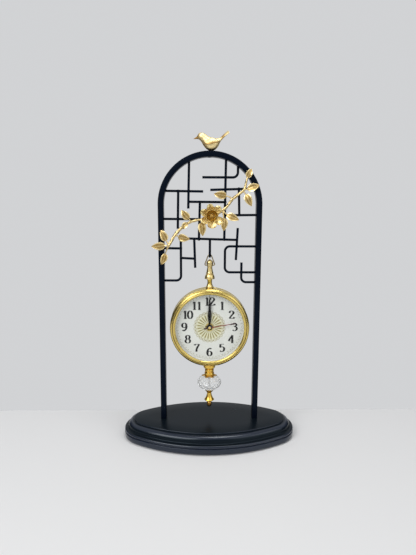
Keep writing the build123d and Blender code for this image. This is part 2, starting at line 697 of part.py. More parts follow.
# Pendant: knob with the pivot hole, domed cap, and stem whose stud holds both.
pendant = Pos(0, HANG_Y, 0)
flare_z = PIVOT_Z - KNOB_WAIST_DROP - FLARE_HEIGHT
waist_z = PIVOT_Z - KNOB_WAIST_DROP
knob_top_z = PIVOT_Z + KNOB_TOP
knob_shoulder_z = knob_top_z - KNOB_TIP_HEIGHT
knob = turned(
    Line((0, flare_z), (FLARE, flare_z)),
    ThreePointArc(
        (FLARE, flare_z),
        ((FLARE + KNOB_WAIST) / 2 - FLARE_HOLLOW, flare_z + FLARE_HEIGHT / 2),
        (KNOB_WAIST, waist_z),
    ),
    ThreePointArc(
        (KNOB_WAIST, waist_z), (KNOB_BULGE, PIVOT_Z + KNOB_BULGE_HEIGHT), (KNOB_TIP, knob_shoulder_z)
    ),
    Line((KNOB_TIP, knob_shoulder_z), (KNOB_TIP / 2, knob_top_z)),
    Line((KNOB_TIP / 2, knob_top_z), (0, knob_top_z)),
    Line((0, knob_top_z), (0, flare_z)),
)
stud_top = flare_z + PENDANT_STUD_REACH
knob -= cylinder(PENDANT_STUD / 2 + FIT, flare_z, stud_top + 2 * FIT)
knob -= cross_cylinder(BOW_WIRE / 2 + FIT, 4 * KNOB_BULGE, 0, 0, PIVOT_Z)
made["crown_knob"] = pendant * knob

brim_z = CAP_Z + CAP_BRIM_HEIGHT
cap = turned(
    Line((0, CAP_Z), (CAP_BRIM, CAP_Z)),
    Line((CAP_BRIM, CAP_Z), (CAP_BRIM, brim_z)),
    ThreePointArc(
        (CAP_BRIM, brim_z),
        ((CAP_BRIM + CAP_TOP) / 2 + CAP_SWELL, (brim_z + flare_z) / 2),
        (CAP_TOP, flare_z),
    ),
    Line((CAP_TOP, flare_z), (0, flare_z)),
    Line((0, flare_z), (0, CAP_Z)),
)
made["pendant_cap"] = pendant * (cap - cylinder(PENDANT_STUD / 2 + FIT, CAP_Z, flare_z))

flange_z = CASE_TOP_Z + STEM_FLANGE_HEIGHT
tenon_z = CASE_TOP_Z - CASE_WALL
stem = turned(
    Line((0, tenon_z), (STEM_FLANGE, tenon_z)),
    Line((STEM_FLANGE, tenon_z), (STEM_FLANGE, flange_z)),
    ThreePointArc((STEM_FLANGE, flange_z), (STEM_NECK, CASE_TOP_Z + STEM_NECK_HEIGHT), (STEM_TOP, CAP_Z)),
    Line((STEM_TOP, CAP_Z), (0, CAP_Z)),
    Line((0, CAP_Z), (0, tenon_z)),
)
stem = pendant * stem - case_cylinder(CASE_RADIUS)
stem += pendant * cylinder(TENON / 2, tenon_z, flange_z)
stem += pendant * cylinder(PENDANT_STUD / 2, CAP_Z, stud_top)
made["pendant_stem"] = stem

# Everything below is drawn on the dial: X to the right, Y up, Z forward from the back of the dial.
clock = Plane((0, CLOCK_Y, CLOCK_Z), x_dir=(1, 0, 0), z_dir=(0, -1, 0))
bore = CASE_RADIUS - CASE_WALL
stack = bore - STACK_CLEARANCE


def ring(outer, inner, low, high):
    """Flat ring round the dial's axis."""
    return cylinder(outer, low, high) - cylinder(inner, low, high)


# Case: drum with rolled rims, the ledge behind the dial and bosses for the rear cover's screws.
cover_front = COVER_THICKNESS - CASE_BACK
case = turned(
    Line((bore, -CASE_BACK), (CASE_RADIUS - RIM_ROUND, -CASE_BACK)),
    CenterArc((CASE_RADIUS - RIM_ROUND, RIM_ROUND - CASE_BACK), RIM_ROUND, -90, 90),
    Line((CASE_RADIUS, RIM_ROUND - CASE_BACK), (CASE_RADIUS, CASE_FRONT - RIM_ROUND)),
    CenterArc((CASE_RADIUS - RIM_ROUND, CASE_FRONT - RIM_ROUND), RIM_ROUND, 0, 90),
    Line((CASE_RADIUS - RIM_ROUND, CASE_FRONT), (bore, CASE_FRONT)),
    Line((bore, CASE_FRONT), (bore, 0)),
    Line((bore, 0), (bore - DIAL_LEDGE, 0)),
    Line((bore - DIAL_LEDGE, 0), (bore - DIAL_LEDGE, -DIAL_LEDGE_THICKNESS)),
    Line((bore - DIAL_LEDGE, -DIAL_LEDGE_THICKNESS), (bore, -DIAL_LEDGE_THICKNESS)),
    Line((bore, -DIAL_LEDGE_THICKNESS), (bore, -CASE_BACK)),
)
screw_circle = bore - BOSS_DIAMETER / 2
cover_places = PolarLocations(screw_circle, COVER_SCREW_COUNT, 90)
screw_hole = COVER_SCREW / 2 + FIT
for place in cover_places:
    case += place * cylinder(BOSS_DIAMETER / 2, cover_front, -DIAL_LEDGE_THICKNESS)
    case -= place * cylinder(screw_hole, cover_front, cover_front + COVER_SCREW_GRIP + 2 * FIT)
case = clock * case
case -= Pos(0, HANG_Y, 0) * cylinder(TENON / 2 + FIT, CLOCK_Z, CASE_TOP_Z)
case -= Pos(0, HANG_Y, 0) * cylinder(TENON / 2 + FIT, CLOCK_Z - CASE_RADIUS, CLOCK_Z)
made["case_ring"] = case

made["dial"] = clock * ring(stack, BUSHING / 2 + STACK_CLEARANCE, 0, DIAL_THICKNESS)
lens_back = DIAL_THICKNESS + SPACER_HEIGHT
lens_front = lens_back + LENS_THICKNESS
bezel_front = lens_front + BEZEL_HEIGHT
made["spacer_ring"] = clock * ring(stack, stack - SPACER_WALL, DIAL_THICKNESS, lens_back)
made["lens"] = clock * cylinder(stack, lens_back, lens_front)
bezel_inner = stack - BEZEL_WIDTH
made["bezel"] = clock * turned(
    Line((bezel_inner, lens_front), (stack, lens_front)),
    Line((stack, lens_front), (stack, bezel_front - BEZEL_SLOPE)),
    ThreePointArc(
        (stack, bezel_front - BEZEL_SLOPE),
        (stack - BEZEL_WIDTH / 3, bezel_front),
        (bezel_inner + BEZEL_SLOPE / 2, lens_front + BEZEL_HEIGHT / 3),
    ),
    Line((bezel_inner + BEZEL_SLOPE / 2, lens_front + BEZEL_HEIGHT / 3), (bezel_inner, lens_front)),
)

# Rear cover: disc in the back of the case, open round the movement, with countersunk screws.
window = MOVEMENT_WIDTH + 2 * COVER_WINDOW_GAP
cover = cylinder(stack, -CASE_BACK, cover_front)
cover -= Pos(0, 0, -CASE_BACK) * extrude(
    RectangleRounded(window, window, MOVEMENT_CORNER + COVER_WINDOW_GAP), COVER_THICKNESS
)
for place in cover_places:
    cover -= place * cylinder(screw_hole, -CASE_BACK, cover_front)
    cover -= place * cylinder(COVER_SCREW_HEAD / 2 + FIT, -CASE_BACK, COVER_SCREW_HEAD_HEIGHT - CASE_BACK)
made["rear_cover"] = clock * cover
made["rear_cover_screws"] = [
    clock * (place * (
        cylinder(COVER_SCREW_HEAD / 2, -CASE_BACK, COVER_SCREW_HEAD_HEIGHT - CASE_BACK)
        + cylinder(COVER_SCREW / 2, -CASE_BACK, cover_front + COVER_SCREW_GRIP)
    ))
    for place in cover_places
]

# Finial: collar under the case, cup, crystal bead and tip, pulled together by the tie rod.
case_foot = CLOCK_Z - CASE_RADIUS
collar_z = case_foot - COLLAR_HEIGHT
ring_top = collar_z + COLLAR_HEIGHT - COLLAR_FLANGE_HEIGHT - COLLAR_GROOVE_HEIGHT
flange_foot = case_foot - COLLAR_FLANGE_HEIGHT
collar = turned(
    Line((0, collar_z), (COLLAR_RING, collar_z)),
    ThreePointArc(
        (COLLAR_RING, collar_z),
        (COLLAR_RING + COLLAR_RING_SWELL, (collar_z + ring_top) / 2),
        (COLLAR_RING, ring_top),
    ),
    Line((COLLAR_RING, ring_top), (COLLAR_GROOVE, ring_top)),
    Line((COLLAR_GROOVE, ring_top), (COLLAR_GROOVE, flange_foot)),
    ThreePointArc(
        (COLLAR_GROOVE, flange_foot),
        (COLLAR_TAPER_WIDTH, flange_foot + COLLAR_TAPER / 2),
        (COLLAR_FLANGE, flange_foot + COLLAR_TAPER),
    ),
    Line((COLLAR_FLANGE, flange_foot + COLLAR_TAPER), (COLLAR_FLANGE, case_foot + CASE_WALL)),
    Line((COLLAR_FLANGE, case_foot + CASE_WALL), (0, case_foot + CASE_WALL)),
    Line((0, case_foot + CASE_WALL), (0, collar_z)),
)
collar = pendant * collar - case_cylinder(CASE_RADIUS)
collar += pendant * cylinder(TENON / 2, flange_foot, case_foot + CASE_WALL)
tie_top = collar_z + TIE_GRIP
collar -= pendant * cylinder(TIE_ROD / 2 + FIT, collar_z, tie_top + 2 * FIT)
made["finial_collar"] = collar

tie_hole = TIE_ROD / 2 + FIT
bead_top = collar_z - CUP_HEIGHT
cup = turned(
    Line((0, bead_top), (CUP_RADIUS, bead_top)),
    Line((CUP_RADIUS, bead_top), (COLLAR_RING, collar_z)),
    Line((COLLAR_RING, collar_z), (0, collar_z)),
    Line((0, collar_z), (0, bead_top)),
)
made["finial_cup"] = pendant * (cup - cylinder(tie_hole, bead_top, collar_z))

bead_foot = bead_top - BEAD_HEIGHT
bead = cylinder(BEAD_RADIUS / cos(radians(180 / BEAD_FACETS)), bead_foot, bead_top)
facet_turn = 360 / BEAD_FACETS
facet_rings = [
    (BEAD_TABLE, bead_top, BEAD_CROWN_TILT, facet_turn / 2),
    (BEAD_RADIUS, bead_top, 0, 0),
    (BEAD_BELLY, bead_foot + BEAD_BELLY_HEIGHT, BEAD_BELLY_TILT, 0),
    (BEAD_CULET, bead_foot, BEAD_CULET_TILT, facet_turn / 2),
]
for radius, height, tilt, offset in facet_rings:
    for index in range(BEAD_FACETS):
        angle = radians(index * facet_turn + offset)
        facing = (cos(angle) * cos(radians(tilt)), sin(angle) * cos(radians(tilt)), sin(radians(tilt)))
        grind = Plane((radius * cos(angle), radius * sin(angle), height), z_dir=facing)
        bead = split(bead, bisect_by=grind, keep=Keep.BOTTOM)
made["crystal_bead"] = pendant * (bead - cylinder(tie_hole, bead_foot, bead_top))

cup_foot = bead_foot - TIP_CUP_HEIGHT
cone_foot = cup_foot - TIP_CONE_HEIGHT
brim_foot = cone_foot - TIP_BRIM_DROP
tip_foot = brim_foot - TIP_BUTTON_HEIGHT
tip = turned(
    Line((0, bead_foot), (TIP_CUP, bead_foot)),
    ThreePointArc(
        (TIP_CUP, bead_foot),
        ((TIP_CUP + TIP_NECK) / 2 + TIP_SWELL, (bead_foot + cup_foot) / 2),
        (TIP_NECK, cup_foot),
    ),
    ThreePointArc((TIP_NECK, cup_foot), (TIP_FLARE, (cup_foot + cone_foot) / 2), (TIP_BRIM, cone_foot)),
    Line((TIP_BRIM, cone_foot), (TIP_GROOVE, brim_foot)),
    Line((TIP_GROOVE, brim_foot), (TIP_BUTTON, brim_foot - TIP_SHOULDER)),
    Line((TIP_BUTTON, brim_foot - TIP_SHOULDER), (TIP_BUTTON, tip_foot + TIP_BUTTON)),
    CenterArc((0, tip_foot + TIP_BUTTON), TIP_BUTTON, 0, -90),
    Line((0, tip_foot), (0, bead_foot)),
)
tie_foot = bead_foot - TIE_GRIP
made["finial_tip"] = pendant * (tip - cylinder(tie_hole, tie_foot - 2 * FIT, bead_foot))
made["tie_rod"] = pendant * cylinder(TIE_ROD / 2, tie_foot, tie_top)


# Wheels of the movement.
def gear(teeth, module, low, high, phase):
    """Spur wheel with short straight-sided teeth and one tooth at the phase angle."""
    pitch_radius = teeth * module / 2
    tip_radius = pitch_radius + ADDENDUM * module
    root_radius = pitch_radius - DEDENDUM * module
    corners = [
        (root_radius, -TOOTH_ROOT_SHARE),
        (tip_radius, -TOOTH_TIP_SHARE),
        (tip_radius, TOOTH_TIP_SHARE),
        (root_radius, TOOTH_ROOT_SHARE),
    ]
    outline = []
    for tooth in range(teeth):
        for radius, share in corners:
            angle = radians(phase + (tooth + share) * 360 / teeth)
            outline.append((radius * cos(angle), radius * sin(angle)))
    return Pos(0, 0, low) * extrude(make_face(Polyline(*outline, close=True)), high - low)


def wheel(teeth, module, layer, phase):
    """Wheel in one of the layers behind the lid."""
    front = -FIRST_LAYER - layer * LAYER_PITCH
    return gear(teeth, module, front - WHEEL_THICKNESS, front, phase)


def pinion(teeth, module, layer, phase):
    """Pinion a little longer than the wheel that it meshes with."""
    front = -FIRST_LAYER - layer * LAYER_PITCH
    return gear(teeth, module, front - WHEEL_THICKNESS - PINION_OVERHANG, front + PINION_OVERHANG, phase)


def polar(distance, angle, origin=(0, 0)):
    """Point at a distance and angle from another on the dial."""
    return (origin[0] + distance * cos(radians(angle)), origin[1] + distance * sin(radians(angle)))


def gap_phase(angle, teeth):
    """Phase that turns a gap between two teeth to the angle."""
    return angle + 180 / teeth


HOUR_LAYER, MOTION_LAYER, MINUTE_LAYER, THIRD_LAYER, SECOND_LAYER, INTERMEDIATE_LAYER = range(6)
third_module = 2 * THIRD_DISTANCE / (SECOND_PINION_TEETH + THIRD_TEETH)
minute_module = 2 * THIRD_DISTANCE / (THIRD_PINION_TEETH + MINUTE_TEETH)
motion_module = 2 * MOTION_DISTANCE / (CANNON_TEETH + MOTION_TEETH)
hour_module = 2 * MOTION_DISTANCE / (MOTION_PINION_TEETH + HOUR_TEETH)
second_module = 2 * INTERMEDIATE_DISTANCE / (INTERMEDIATE_PINION_TEETH + SECOND_TEETH)
rotor_module = 2 * ROTOR_DISTANCE / (ROTOR_PINION_TEETH + INTERMEDIATE_TEETH)
third_place = polar(THIRD_DISTANCE, THIRD_ANGLE)
motion_place = polar(MOTION_DISTANCE, MOTION_ANGLE)
intermediate_place = polar(INTERMEDIATE_DISTANCE, INTERMEDIATE_ANGLE)
rotor_place = polar(ROTOR_DISTANCE, INTERMEDIATE_ANGLE, intermediate_place)

hour_top = BUSHING_HEIGHT + HAND_GAP / 2 + HAND_THICKNESS
minute_top = hour_top + HAND_GAP + HAND_THICKNESS
second_low = minute_top + HAND_GAP
housing_back = -MOVEMENT_THICKNESS
wall_front = housing_back + MOVEMENT_WALL
pivot_back = wall_front - PIVOT_DEPTH
pivot_front = PIVOT_DEPTH - MOVEMENT_WALL


def layer_back(layer):
    """Back face of the wheels in a layer."""
    return -FIRST_LAYER - layer * LAYER_PITCH - WHEEL_THICKNESS


hour_wheel = wheel(HOUR_TEETH, hour_module, HOUR_LAYER, MOTION_ANGLE)
hour_wheel += cylinder(HOUR_PIPE / 2, layer_back(HOUR_LAYER), hour_top)
hour_wheel -= cylinder(MINUTE_PIPE / 2 + FIT, layer_back(HOUR_LAYER), hour_top)
made["hour_wheel"] = clock * hour_wheel

minute_wheel = wheel(MINUTE_TEETH, minute_module, MINUTE_LAYER, THIRD_ANGLE)
minute_wheel += pinion(CANNON_TEETH, motion_module, MOTION_LAYER, MOTION_ANGLE)
minute_wheel += cylinder(MINUTE_PIPE / 2, layer_back(MINUTE_LAYER), minute_top)
minute_wheel -= cylinder(SECOND_ARBOR / 2 + FIT, layer_back(MINUTE_LAYER), minute_top)
made["minute_wheel"] = clock * minute_wheel

second_wheel = wheel(SECOND_TEETH, second_module, SECOND_LAYER, INTERMEDIATE_ANGLE)
second_wheel += pinion(SECOND_PINION_TEETH, third_module, THIRD_LAYER, THIRD_ANGLE)
second_wheel += cylinder(SECOND_ARBOR / 2, pivot_back + FIT, second_low + SECOND_TUBE_HEIGHT)
made["second_wheel"] = clock * second_wheel

third_wheel = wheel(THIRD_TEETH, third_module, THIRD_LAYER, gap_phase(THIRD_ANGLE + 180, THIRD_TEETH))
third_wheel += pinion(
    THIRD_PINION_TEETH, minute_module, MINUTE_LAYER, gap_phase(THIRD_ANGLE + 180, THIRD_PINION_TEETH)
)
third_wheel += cylinder(WHEEL_ARBOR / 2, pivot_back + FIT, pivot_front - FIT)
made["third_wheel"] = clock * (Pos(*third_place) * third_wheel)

motion_wheel = wheel(
    MOTION_TEETH, motion_module, MOTION_LAYER, gap_phase(MOTION_ANGLE + 180, MOTION_TEETH)
)
motion_wheel += pinion(
    MOTION_PINION_TEETH, hour_module, HOUR_LAYER, gap_phase(MOTION_ANGLE + 180, MOTION_PINION_TEETH)
)
knob_front = housing_back - KNOB_STANDOFF
knob_back = knob_front - KNOB_HEIGHT
motion_wheel += cylinder(MOTION_ARBOR / 2, knob_back + MOVEMENT_WALL, pivot_front - FIT)
made["motion_wheel"] = clock * (Pos(*motion_place) * motion_wheel)

intermediate = wheel(INTERMEDIATE_TEETH, rotor_module, INTERMEDIATE_LAYER, INTERMEDIATE_ANGLE)
intermediate += pinion(
    INTERMEDIATE_PINION_TEETH,
    second_module,
    SECOND_LAYER,
    gap_phase(INTERMEDIATE_ANGLE + 180, INTERMEDIATE_PINION_TEETH),
)
intermediate += cylinder(WHEEL_ARBOR / 2, pivot_back + FIT, pivot_front - FIT)
made["intermediate_wheel"] = clock * (Pos(*intermediate_place) * intermediate)

magnet_front = layer_back(INTERMEDIATE_LAYER) - PINION_OVERHANG - MAGNET_GAP
magnet_back = magnet_front - MAGNET_HEIGHT
rotor = pinion(
    ROTOR_PINION_TEETH,
    rotor_module,
    INTERMEDIATE_LAYER,
    gap_phase(INTERMEDIATE_ANGLE + 180, ROTOR_PINION_TEETH),
)
rotor += cylinder(MAGNET_DIAMETER / 2, magnet_back, magnet_front)
rotor += cylinder(WHEEL_ARBOR / 2, pivot_back + FIT, pivot_front - FIT)
made["rotor"] = clock * (Pos(*rotor_place) * rotor)

# Set knob on the motion wheel's arbor, with finger notches.
set_knob = cylinder(KNOB_DIAMETER / 2, knob_back, knob_front)
for place in PolarLocations(KNOB_DIAMETER / 2, KNOB_NOTCHES):
    set_knob -= place * cylinder(KNOB_NOTCH / 2, knob_back, knob_front)
set_knob -= cylinder(MOTION_ARBOR / 2, knob_back + MOVEMENT_WALL, knob_front)
made["set_knob"] = clock * (Pos(*motion_place) * set_knob)

# Movement housing: tray with a cell bay that opens to the back, pivot holes and stator posts.
half_width = MOVEMENT_WIDTH / 2
tray_front = -MOVEMENT_WALL
tray_outline = RectangleRounded(MOVEMENT_WIDTH, MOVEMENT_WIDTH, MOVEMENT_CORNER)
inner_width = MOVEMENT_WIDTH - 2 * MOVEMENT_WALL
bay_height = CELL_DIAMETER + 2 * CELL_ROOM
bay_top = MOVEMENT_WALL + bay_height - half_width
bay_middle = bay_top - bay_height / 2
room_foot = bay_top + MOVEMENT_WALL
room_height = half_width - MOVEMENT_WALL - room_foot
room_outline = RectangleRounded(inner_width, inner_width, MOVEMENT_CORNER - MOVEMENT_WALL)
room_outline &= Pos(0, room_foot + room_height / 2) * Rectangle(inner_width, room_height)
housing = Pos(0, 0, housing_back) * extrude(tray_outline, tray_front - housing_back)
housing -= Pos(0, 0, wall_front) * extrude(room_outline, tray_front - wall_front)
bay_outline = RectangleRounded(inner_width, inner_width, MOVEMENT_CORNER - MOVEMENT_WALL)
bay_outline &= Pos(0, bay_middle) * Rectangle(inner_width, bay_height)
housing -= Pos(0, 0, housing_back) * extrude(bay_outline, tray_front - housing_back)
stator_back = (magnet_back + magnet_front - STATOR_THICKNESS) / 2
stator_front = stator_back + STATOR_THICKNESS
core_middle = rotor_place[1] + CORE_ABOVE_ROTOR
arm_middle = STATOR_HALF_WIDTH - STATOR_ARM / 2
for side in (-1, 1):
    housing += cylinder(STATOR_ARM / 2, wall_front, stator_back, side * arm_middle, core_middle)
for place in [(0, 0), third_place, intermediate_place, rotor_place]:
    arbor = SECOND_ARBOR if place == (0, 0) else WHEEL_ARBOR
    housing -= cylinder(arbor / 2 + FIT, pivot_back, wall_front, *place)
housing -= cylinder(MOTION_ARBOR / 2 + FIT, housing_back, wall_front, *motion_place)
made["movement_housing"] = clock * housing

# Lid behind the dial with the bushing that the hands' pipes run in, its washer and nut.
lid = Pos(0, 0, tray_front) * extrude(tray_outline, MOVEMENT_WALL)
lid += cylinder(BUSHING / 2, tray_front, BUSHING_HEIGHT)
lid -= cylinder(HOUR_PIPE / 2 + FIT, tray_front, BUSHING_HEIGHT)
for place in [third_place, intermediate_place, rotor_place]:
    lid -= cylinder(WHEEL_ARBOR / 2 + FIT, tray_front, pivot_front, *place)
lid -= cylinder(MOTION_ARBOR / 2 + FIT, tray_front, pivot_front, *motion_place)
made["movement_lid"] = clock * lid
washer_top = DIAL_THICKNESS + WASHER_THICKNESS
thread = BUSHING / 2 + FIT
made["dial_washer"] = clock * ring(WASHER_DIAMETER / 2, thread, DIAL_THICKNESS, washer_top)
made["centre_nut"] = clock * ring(NUT_DIAMETER / 2, thread, washer_top, washer_top + NUT_THICKNESS)

# Stepping motor: stator on the posts, coil on its core, and the board on the back wall.
stator_low = rotor_place[1] - STATOR_BELOW_ROTOR
stator_high = core_middle + CORE_WIDTH / 2
stator_window = stator_high - CORE_WIDTH - rotor_place[1] - STATOR_ABOVE_ROTOR
stator = Pos(0, (stator_low + stator_high) / 2) * Rectangle(2 * STATOR_HALF_WIDTH, stator_high - stator_low)
stator -= Pos(0, stator_high - CORE_WIDTH - stator_window / 2) * Rectangle(
    2 * (STATOR_HALF_WIDTH - STATOR_ARM), stator_window
)
stator -= Pos(*rotor_place) * Circle(MAGNET_DIAMETER / 2 + MAGNET_GAP)
made["stator"] = clock * (Pos(0, 0, stator_back) * extrude(stator, STATOR_THICKNESS))
coil_axis = (stator_back + stator_front) / 2
coil = cross_cylinder(COIL_DIAMETER / 2, COIL_LENGTH, 0, core_middle, coil_axis)
for side in (-1, 1):
    flange_x = side * (COIL_LENGTH + COIL_FLANGE_THICKNESS) / 2
    coil += Pos(flange_x, core_middle, coil_axis) * Box(COIL_FLANGE_THICKNESS, COIL_FLANGE, COIL_FLANGE)
coil -= Pos(0, core_middle, coil_axis) * Box(
    2 * STATOR_HALF_WIDTH, CORE_WIDTH + 2 * FIT, STATOR_THICKNESS + 2 * FIT
)
made["coil"] = clock * coil
board = Rectangle(BOARD_WIDTH, BOARD_HEIGHT)
board_x = MOVEMENT_WALL + BOARD_WIDTH / 2 + FIT - half_width
board_y = room_foot + BOARD_FOOT_GAP + BOARD_HEIGHT / 2
made["circuit_board"] = clock * (
    Pos(board_x, board_y, wall_front) * extrude(board, BOARD_THICKNESS)
)

# Cell in its bay, with a contact plate at each end.
cell_z = (housing_back + tray_front) / 2
cell_left = -(CELL_LENGTH + CELL_NUB_LENGTH) / 2
cell = cross_cylinder(CELL_DIAMETER / 2, CELL_LENGTH, cell_left + CELL_LENGTH / 2, bay_middle, cell_z)
nub_x = cell_left + CELL_LENGTH + CELL_NUB_LENGTH / 2
cell += cross_cylinder(CELL_NUB / 2, CELL_NUB_LENGTH, nub_x, bay_middle, cell_z)
made["cell"] = clock * cell
contacts = []
for side in (-1, 1):
    plate_x = side * (inner_width / 2 - CONTACT_THICKNESS / 2)
    plate = Pos(plate_x, bay_middle, cell_z) * Box(CONTACT_THICKNESS, CONTACT_WIDTH, CONTACT_WIDTH)
    dimple_x = side * (inner_width - CONTACT_REACH) / 2
    contact = plate + cross_cylinder(CELL_NUB / 2, CONTACT_REACH, dimple_x, bay_middle, cell_z)
    contacts.append(clock * contact)
made["cell_contacts"] = contacts


# Hands on their pipes.
def spade_hand(length, swell, swell_width, hub, hole, low):
    """Black hand that points up: round hub, slim stem and a leaf-shaped end."""
    outline = Circle(hub) + Pos(0, (swell + length) / 4) * Rectangle(HAND_STEM, (swell + length) / 2)
    outline += Pos(0, length - swell) * Rot(0, 0, 90) * lens_outline(swell, swell_width)
    return Pos(0, 0, low) * extrude(outline - Circle(hole), HAND_THICKNESS)


made["hour_hand"] = clock * spade_hand(
    HOUR_LENGTH, HOUR_SWELL, HOUR_SWELL_WIDTH, HOUR_HUB, HOUR_PIPE / 2, hour_top - HAND_THICKNESS
)
made["minute_hand"] = clock * spade_hand(
    MINUTE_LENGTH,
    MINUTE_SWELL,
    MINUTE_SWELL_WIDTH,
    MINUTE_HUB,
    MINUTE_PIPE / 2,
    minute_top - HAND_THICKNESS,
)
second_outline = make_face(
    Polyline(
        (-SECOND_TAIL_WIDTH / 2, -SECOND_TAIL),
        (SECOND_TAIL_WIDTH / 2, -SECOND_TAIL),
        (SECOND_WIDTH / 2, 0),
        (SECOND_POINT / 2, SECOND_LENGTH),
        (-SECOND_POINT / 2, SECOND_LENGTH),
        (-SECOND_WIDTH / 2, 0),
        close=True,
    )
)
second_hand = Pos(0, 0, second_low) * extrude(second_outline, HAND_THICKNESS)
second_hand += cylinder(SECOND_HUB, second_low, second_low + SECOND_TUBE_HEIGHT)
second_hand -= cylinder(SECOND_ARBOR / 2, second_low, second_low + SECOND_TUBE_HEIGHT)
made["second_hand"] = clock * (Rot(0, 0, SECOND_ANGLE) * second_hand)

os.makedirs("parts", exist_ok=True)
for name, shape in made.items():
    pieces = shape if isinstance(shape, list) else [shape]
    solids = [solid for piece in pieces for solid in piece.solids()]
    export_step(Compound(children=solids), f"parts/{name}.step")
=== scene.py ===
import bpy
import bmesh
import numpy as np
from mathutils import Matrix


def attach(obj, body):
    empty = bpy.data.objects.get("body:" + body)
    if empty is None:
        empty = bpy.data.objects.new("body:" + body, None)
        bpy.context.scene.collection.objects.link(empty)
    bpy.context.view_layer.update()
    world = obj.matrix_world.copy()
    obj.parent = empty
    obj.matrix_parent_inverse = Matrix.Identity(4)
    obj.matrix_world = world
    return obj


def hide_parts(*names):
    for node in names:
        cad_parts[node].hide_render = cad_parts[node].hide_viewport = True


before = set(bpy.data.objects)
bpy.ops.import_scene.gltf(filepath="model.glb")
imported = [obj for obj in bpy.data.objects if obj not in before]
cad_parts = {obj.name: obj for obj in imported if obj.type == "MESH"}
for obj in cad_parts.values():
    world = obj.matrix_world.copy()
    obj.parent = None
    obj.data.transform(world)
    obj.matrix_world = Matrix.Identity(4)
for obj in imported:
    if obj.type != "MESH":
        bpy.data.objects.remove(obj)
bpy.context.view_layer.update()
scene = bpy.context.scene
scene.view_settings.view_transform = "Standard"

# Camera: stands half a metre in front of the clock, a little above the dial, and looks
# slightly down, as the photograph was taken. The image is 416 by 555 pixels.
IMAGE_HEIGHT = 555.0
FOCAL_PIXELS = 417.23
CAMERA_PLACE = (-0.01039, -0.51376, 0.2977)
camera_data = bpy.data.cameras.new("camera")
camera_data.lens = camera_data.sensor_width * FOCAL_PIXELS / IMAGE_HEIGHT
camera = bpy.data.objects.new("camera", camera_data)
scene.collection.objects.link(camera)
scene.camera = camera
look_right = (0.99988, -0.01538, 0.00359)
look_up = (-0.00094, 0.16901, 0.98561)
look_back = (-0.01577, -0.98549, 0.16898)
camera_turn = Matrix((look_right, look_up, look_back)).transposed().to_4x4()
camera.matrix_world = Matrix.Translation(CAMERA_PLACE) @ camera_turn

# Studio: pale table top that ends just behind the clock, a pale wall tone beyond it, an even
# world, and three large soft lamps in front and above. Glass shows the wall behind the clock,
# and metal shows the wall, a dimmer room in front of it and dark screens at both sides.
TABLE_TONE = (0.805, 0.807, 0.811, 1)
WALL_TONE = (0.64, 0.648, 0.662, 1)
ROOM_TONE = (0.38, 0.384, 0.395, 1)
SIDE_TONE = (0.05, 0.05, 0.052, 1)
TABLE_SIDE, TABLE_FRONT, TABLE_BACK, TABLE_LEVEL = 1100.0, -1000.0, 63.0, -0.2
MILLIMETRE = 0.001


class Flow:
    """One socket of a material. Sums and products of flows add the Math nodes for them."""

    def __init__(self, tree, socket=None):
        self.tree = tree
        self.socket = socket

    def node(self, kind, inputs=None, out=0, **settings):
        """Adds a node: its settings first, then the values or links of its sockets."""
        made = self.tree.nodes.new(kind)
        for key, value in settings.items():
            setattr(made, key, value)
        for key, value in (inputs or {}).items():
            if isinstance(value, Flow):
                self.tree.links.new(value.socket, made.inputs[key])
            else:
                made.inputs[key].default_value = value
        return Flow(self.tree, made.outputs[out]) if made.outputs else self

    def math(self, operation, *values):
        """One Math node on values or flows."""
        return self.node("ShaderNodeMath", dict(enumerate(values)), operation=operation)

    def __add__(self, other):
        return self.math("ADD", self, other)

    __radd__ = __add__

    def __sub__(self, other):
        return self.math("SUBTRACT", self, other)

    def __rsub__(self, other):
        return self.math("SUBTRACT", other, self)

    def __mul__(self, other):
        return self.math("MULTIPLY", self, other)

    __rmul__ = __mul__

    def __abs__(self):
        return self.math("ABSOLUTE", self)

    def part(self, axis):
        """X, Y or Z of a vector."""
        return self.node("ShaderNodeSeparateXYZ", {"Vector": self}, out=axis)

    def between(self, low, high):
        """0 below low, 1 above high, and a smooth step from one to the other."""
        ends = {"Value": self, "From Min": low, "From Max": high}
        return self.node("ShaderNodeMapRange", ends, interpolation_type="SMOOTHSTEP")

    def blend(self, first, second):
        """Colour that goes from the first to the second as this value goes from 0 to 1."""
        return self.node("ShaderNodeMix", {0: self, 6: first, 7: second}, out=2, data_type="RGBA")

    def noise(self, where, scale, detail=3.0):
        """Cloudy noise between 0 and 1."""
        cloud = {"Vector": where, "Scale": scale, "Detail": detail, "Roughness": 0.55}
        return self.node("ShaderNodeTexNoise", cloud)

    def bump(self, height, strength, distance):
        """Normal that follows a height."""
        dents = {"Height": height, "Strength": strength, "Distance": distance}
        return self.node("ShaderNodeBump", dents)

    def surface(self, **inputs):
        """Principled shader on the material's output; sockets are named with underscores."""
        named = {key.replace("_", " "): value for key, value in inputs.items()}
        shader = self.node("ShaderNodeBsdfPrincipled", named)
        self.node("ShaderNodeOutputMaterial", {"Surface": shader})


def clear_flow(owner):
    """First flow of a material or world whose nodes are cleared."""
    owner.use_nodes = True
    owner.node_tree.nodes.clear()
    return Flow(owner.node_tree)


def new_finish(name):
    """Empty material and its first flow."""
    finish = bpy.data.materials.new(name)
    return finish, clear_flow(finish)


def add_mesh(name, points, faces, finish):
    """Object from points in millimetres and the corners of its faces, with one finish."""
    mesh = bpy.data.meshes.new(name)
    mesh.from_pydata((points * MILLIMETRE).tolist(), [], faces)
    mesh.materials.append(finish)
    made = bpy.data.objects.new(name, mesh)
    scene.collection.objects.link(made)
    return made


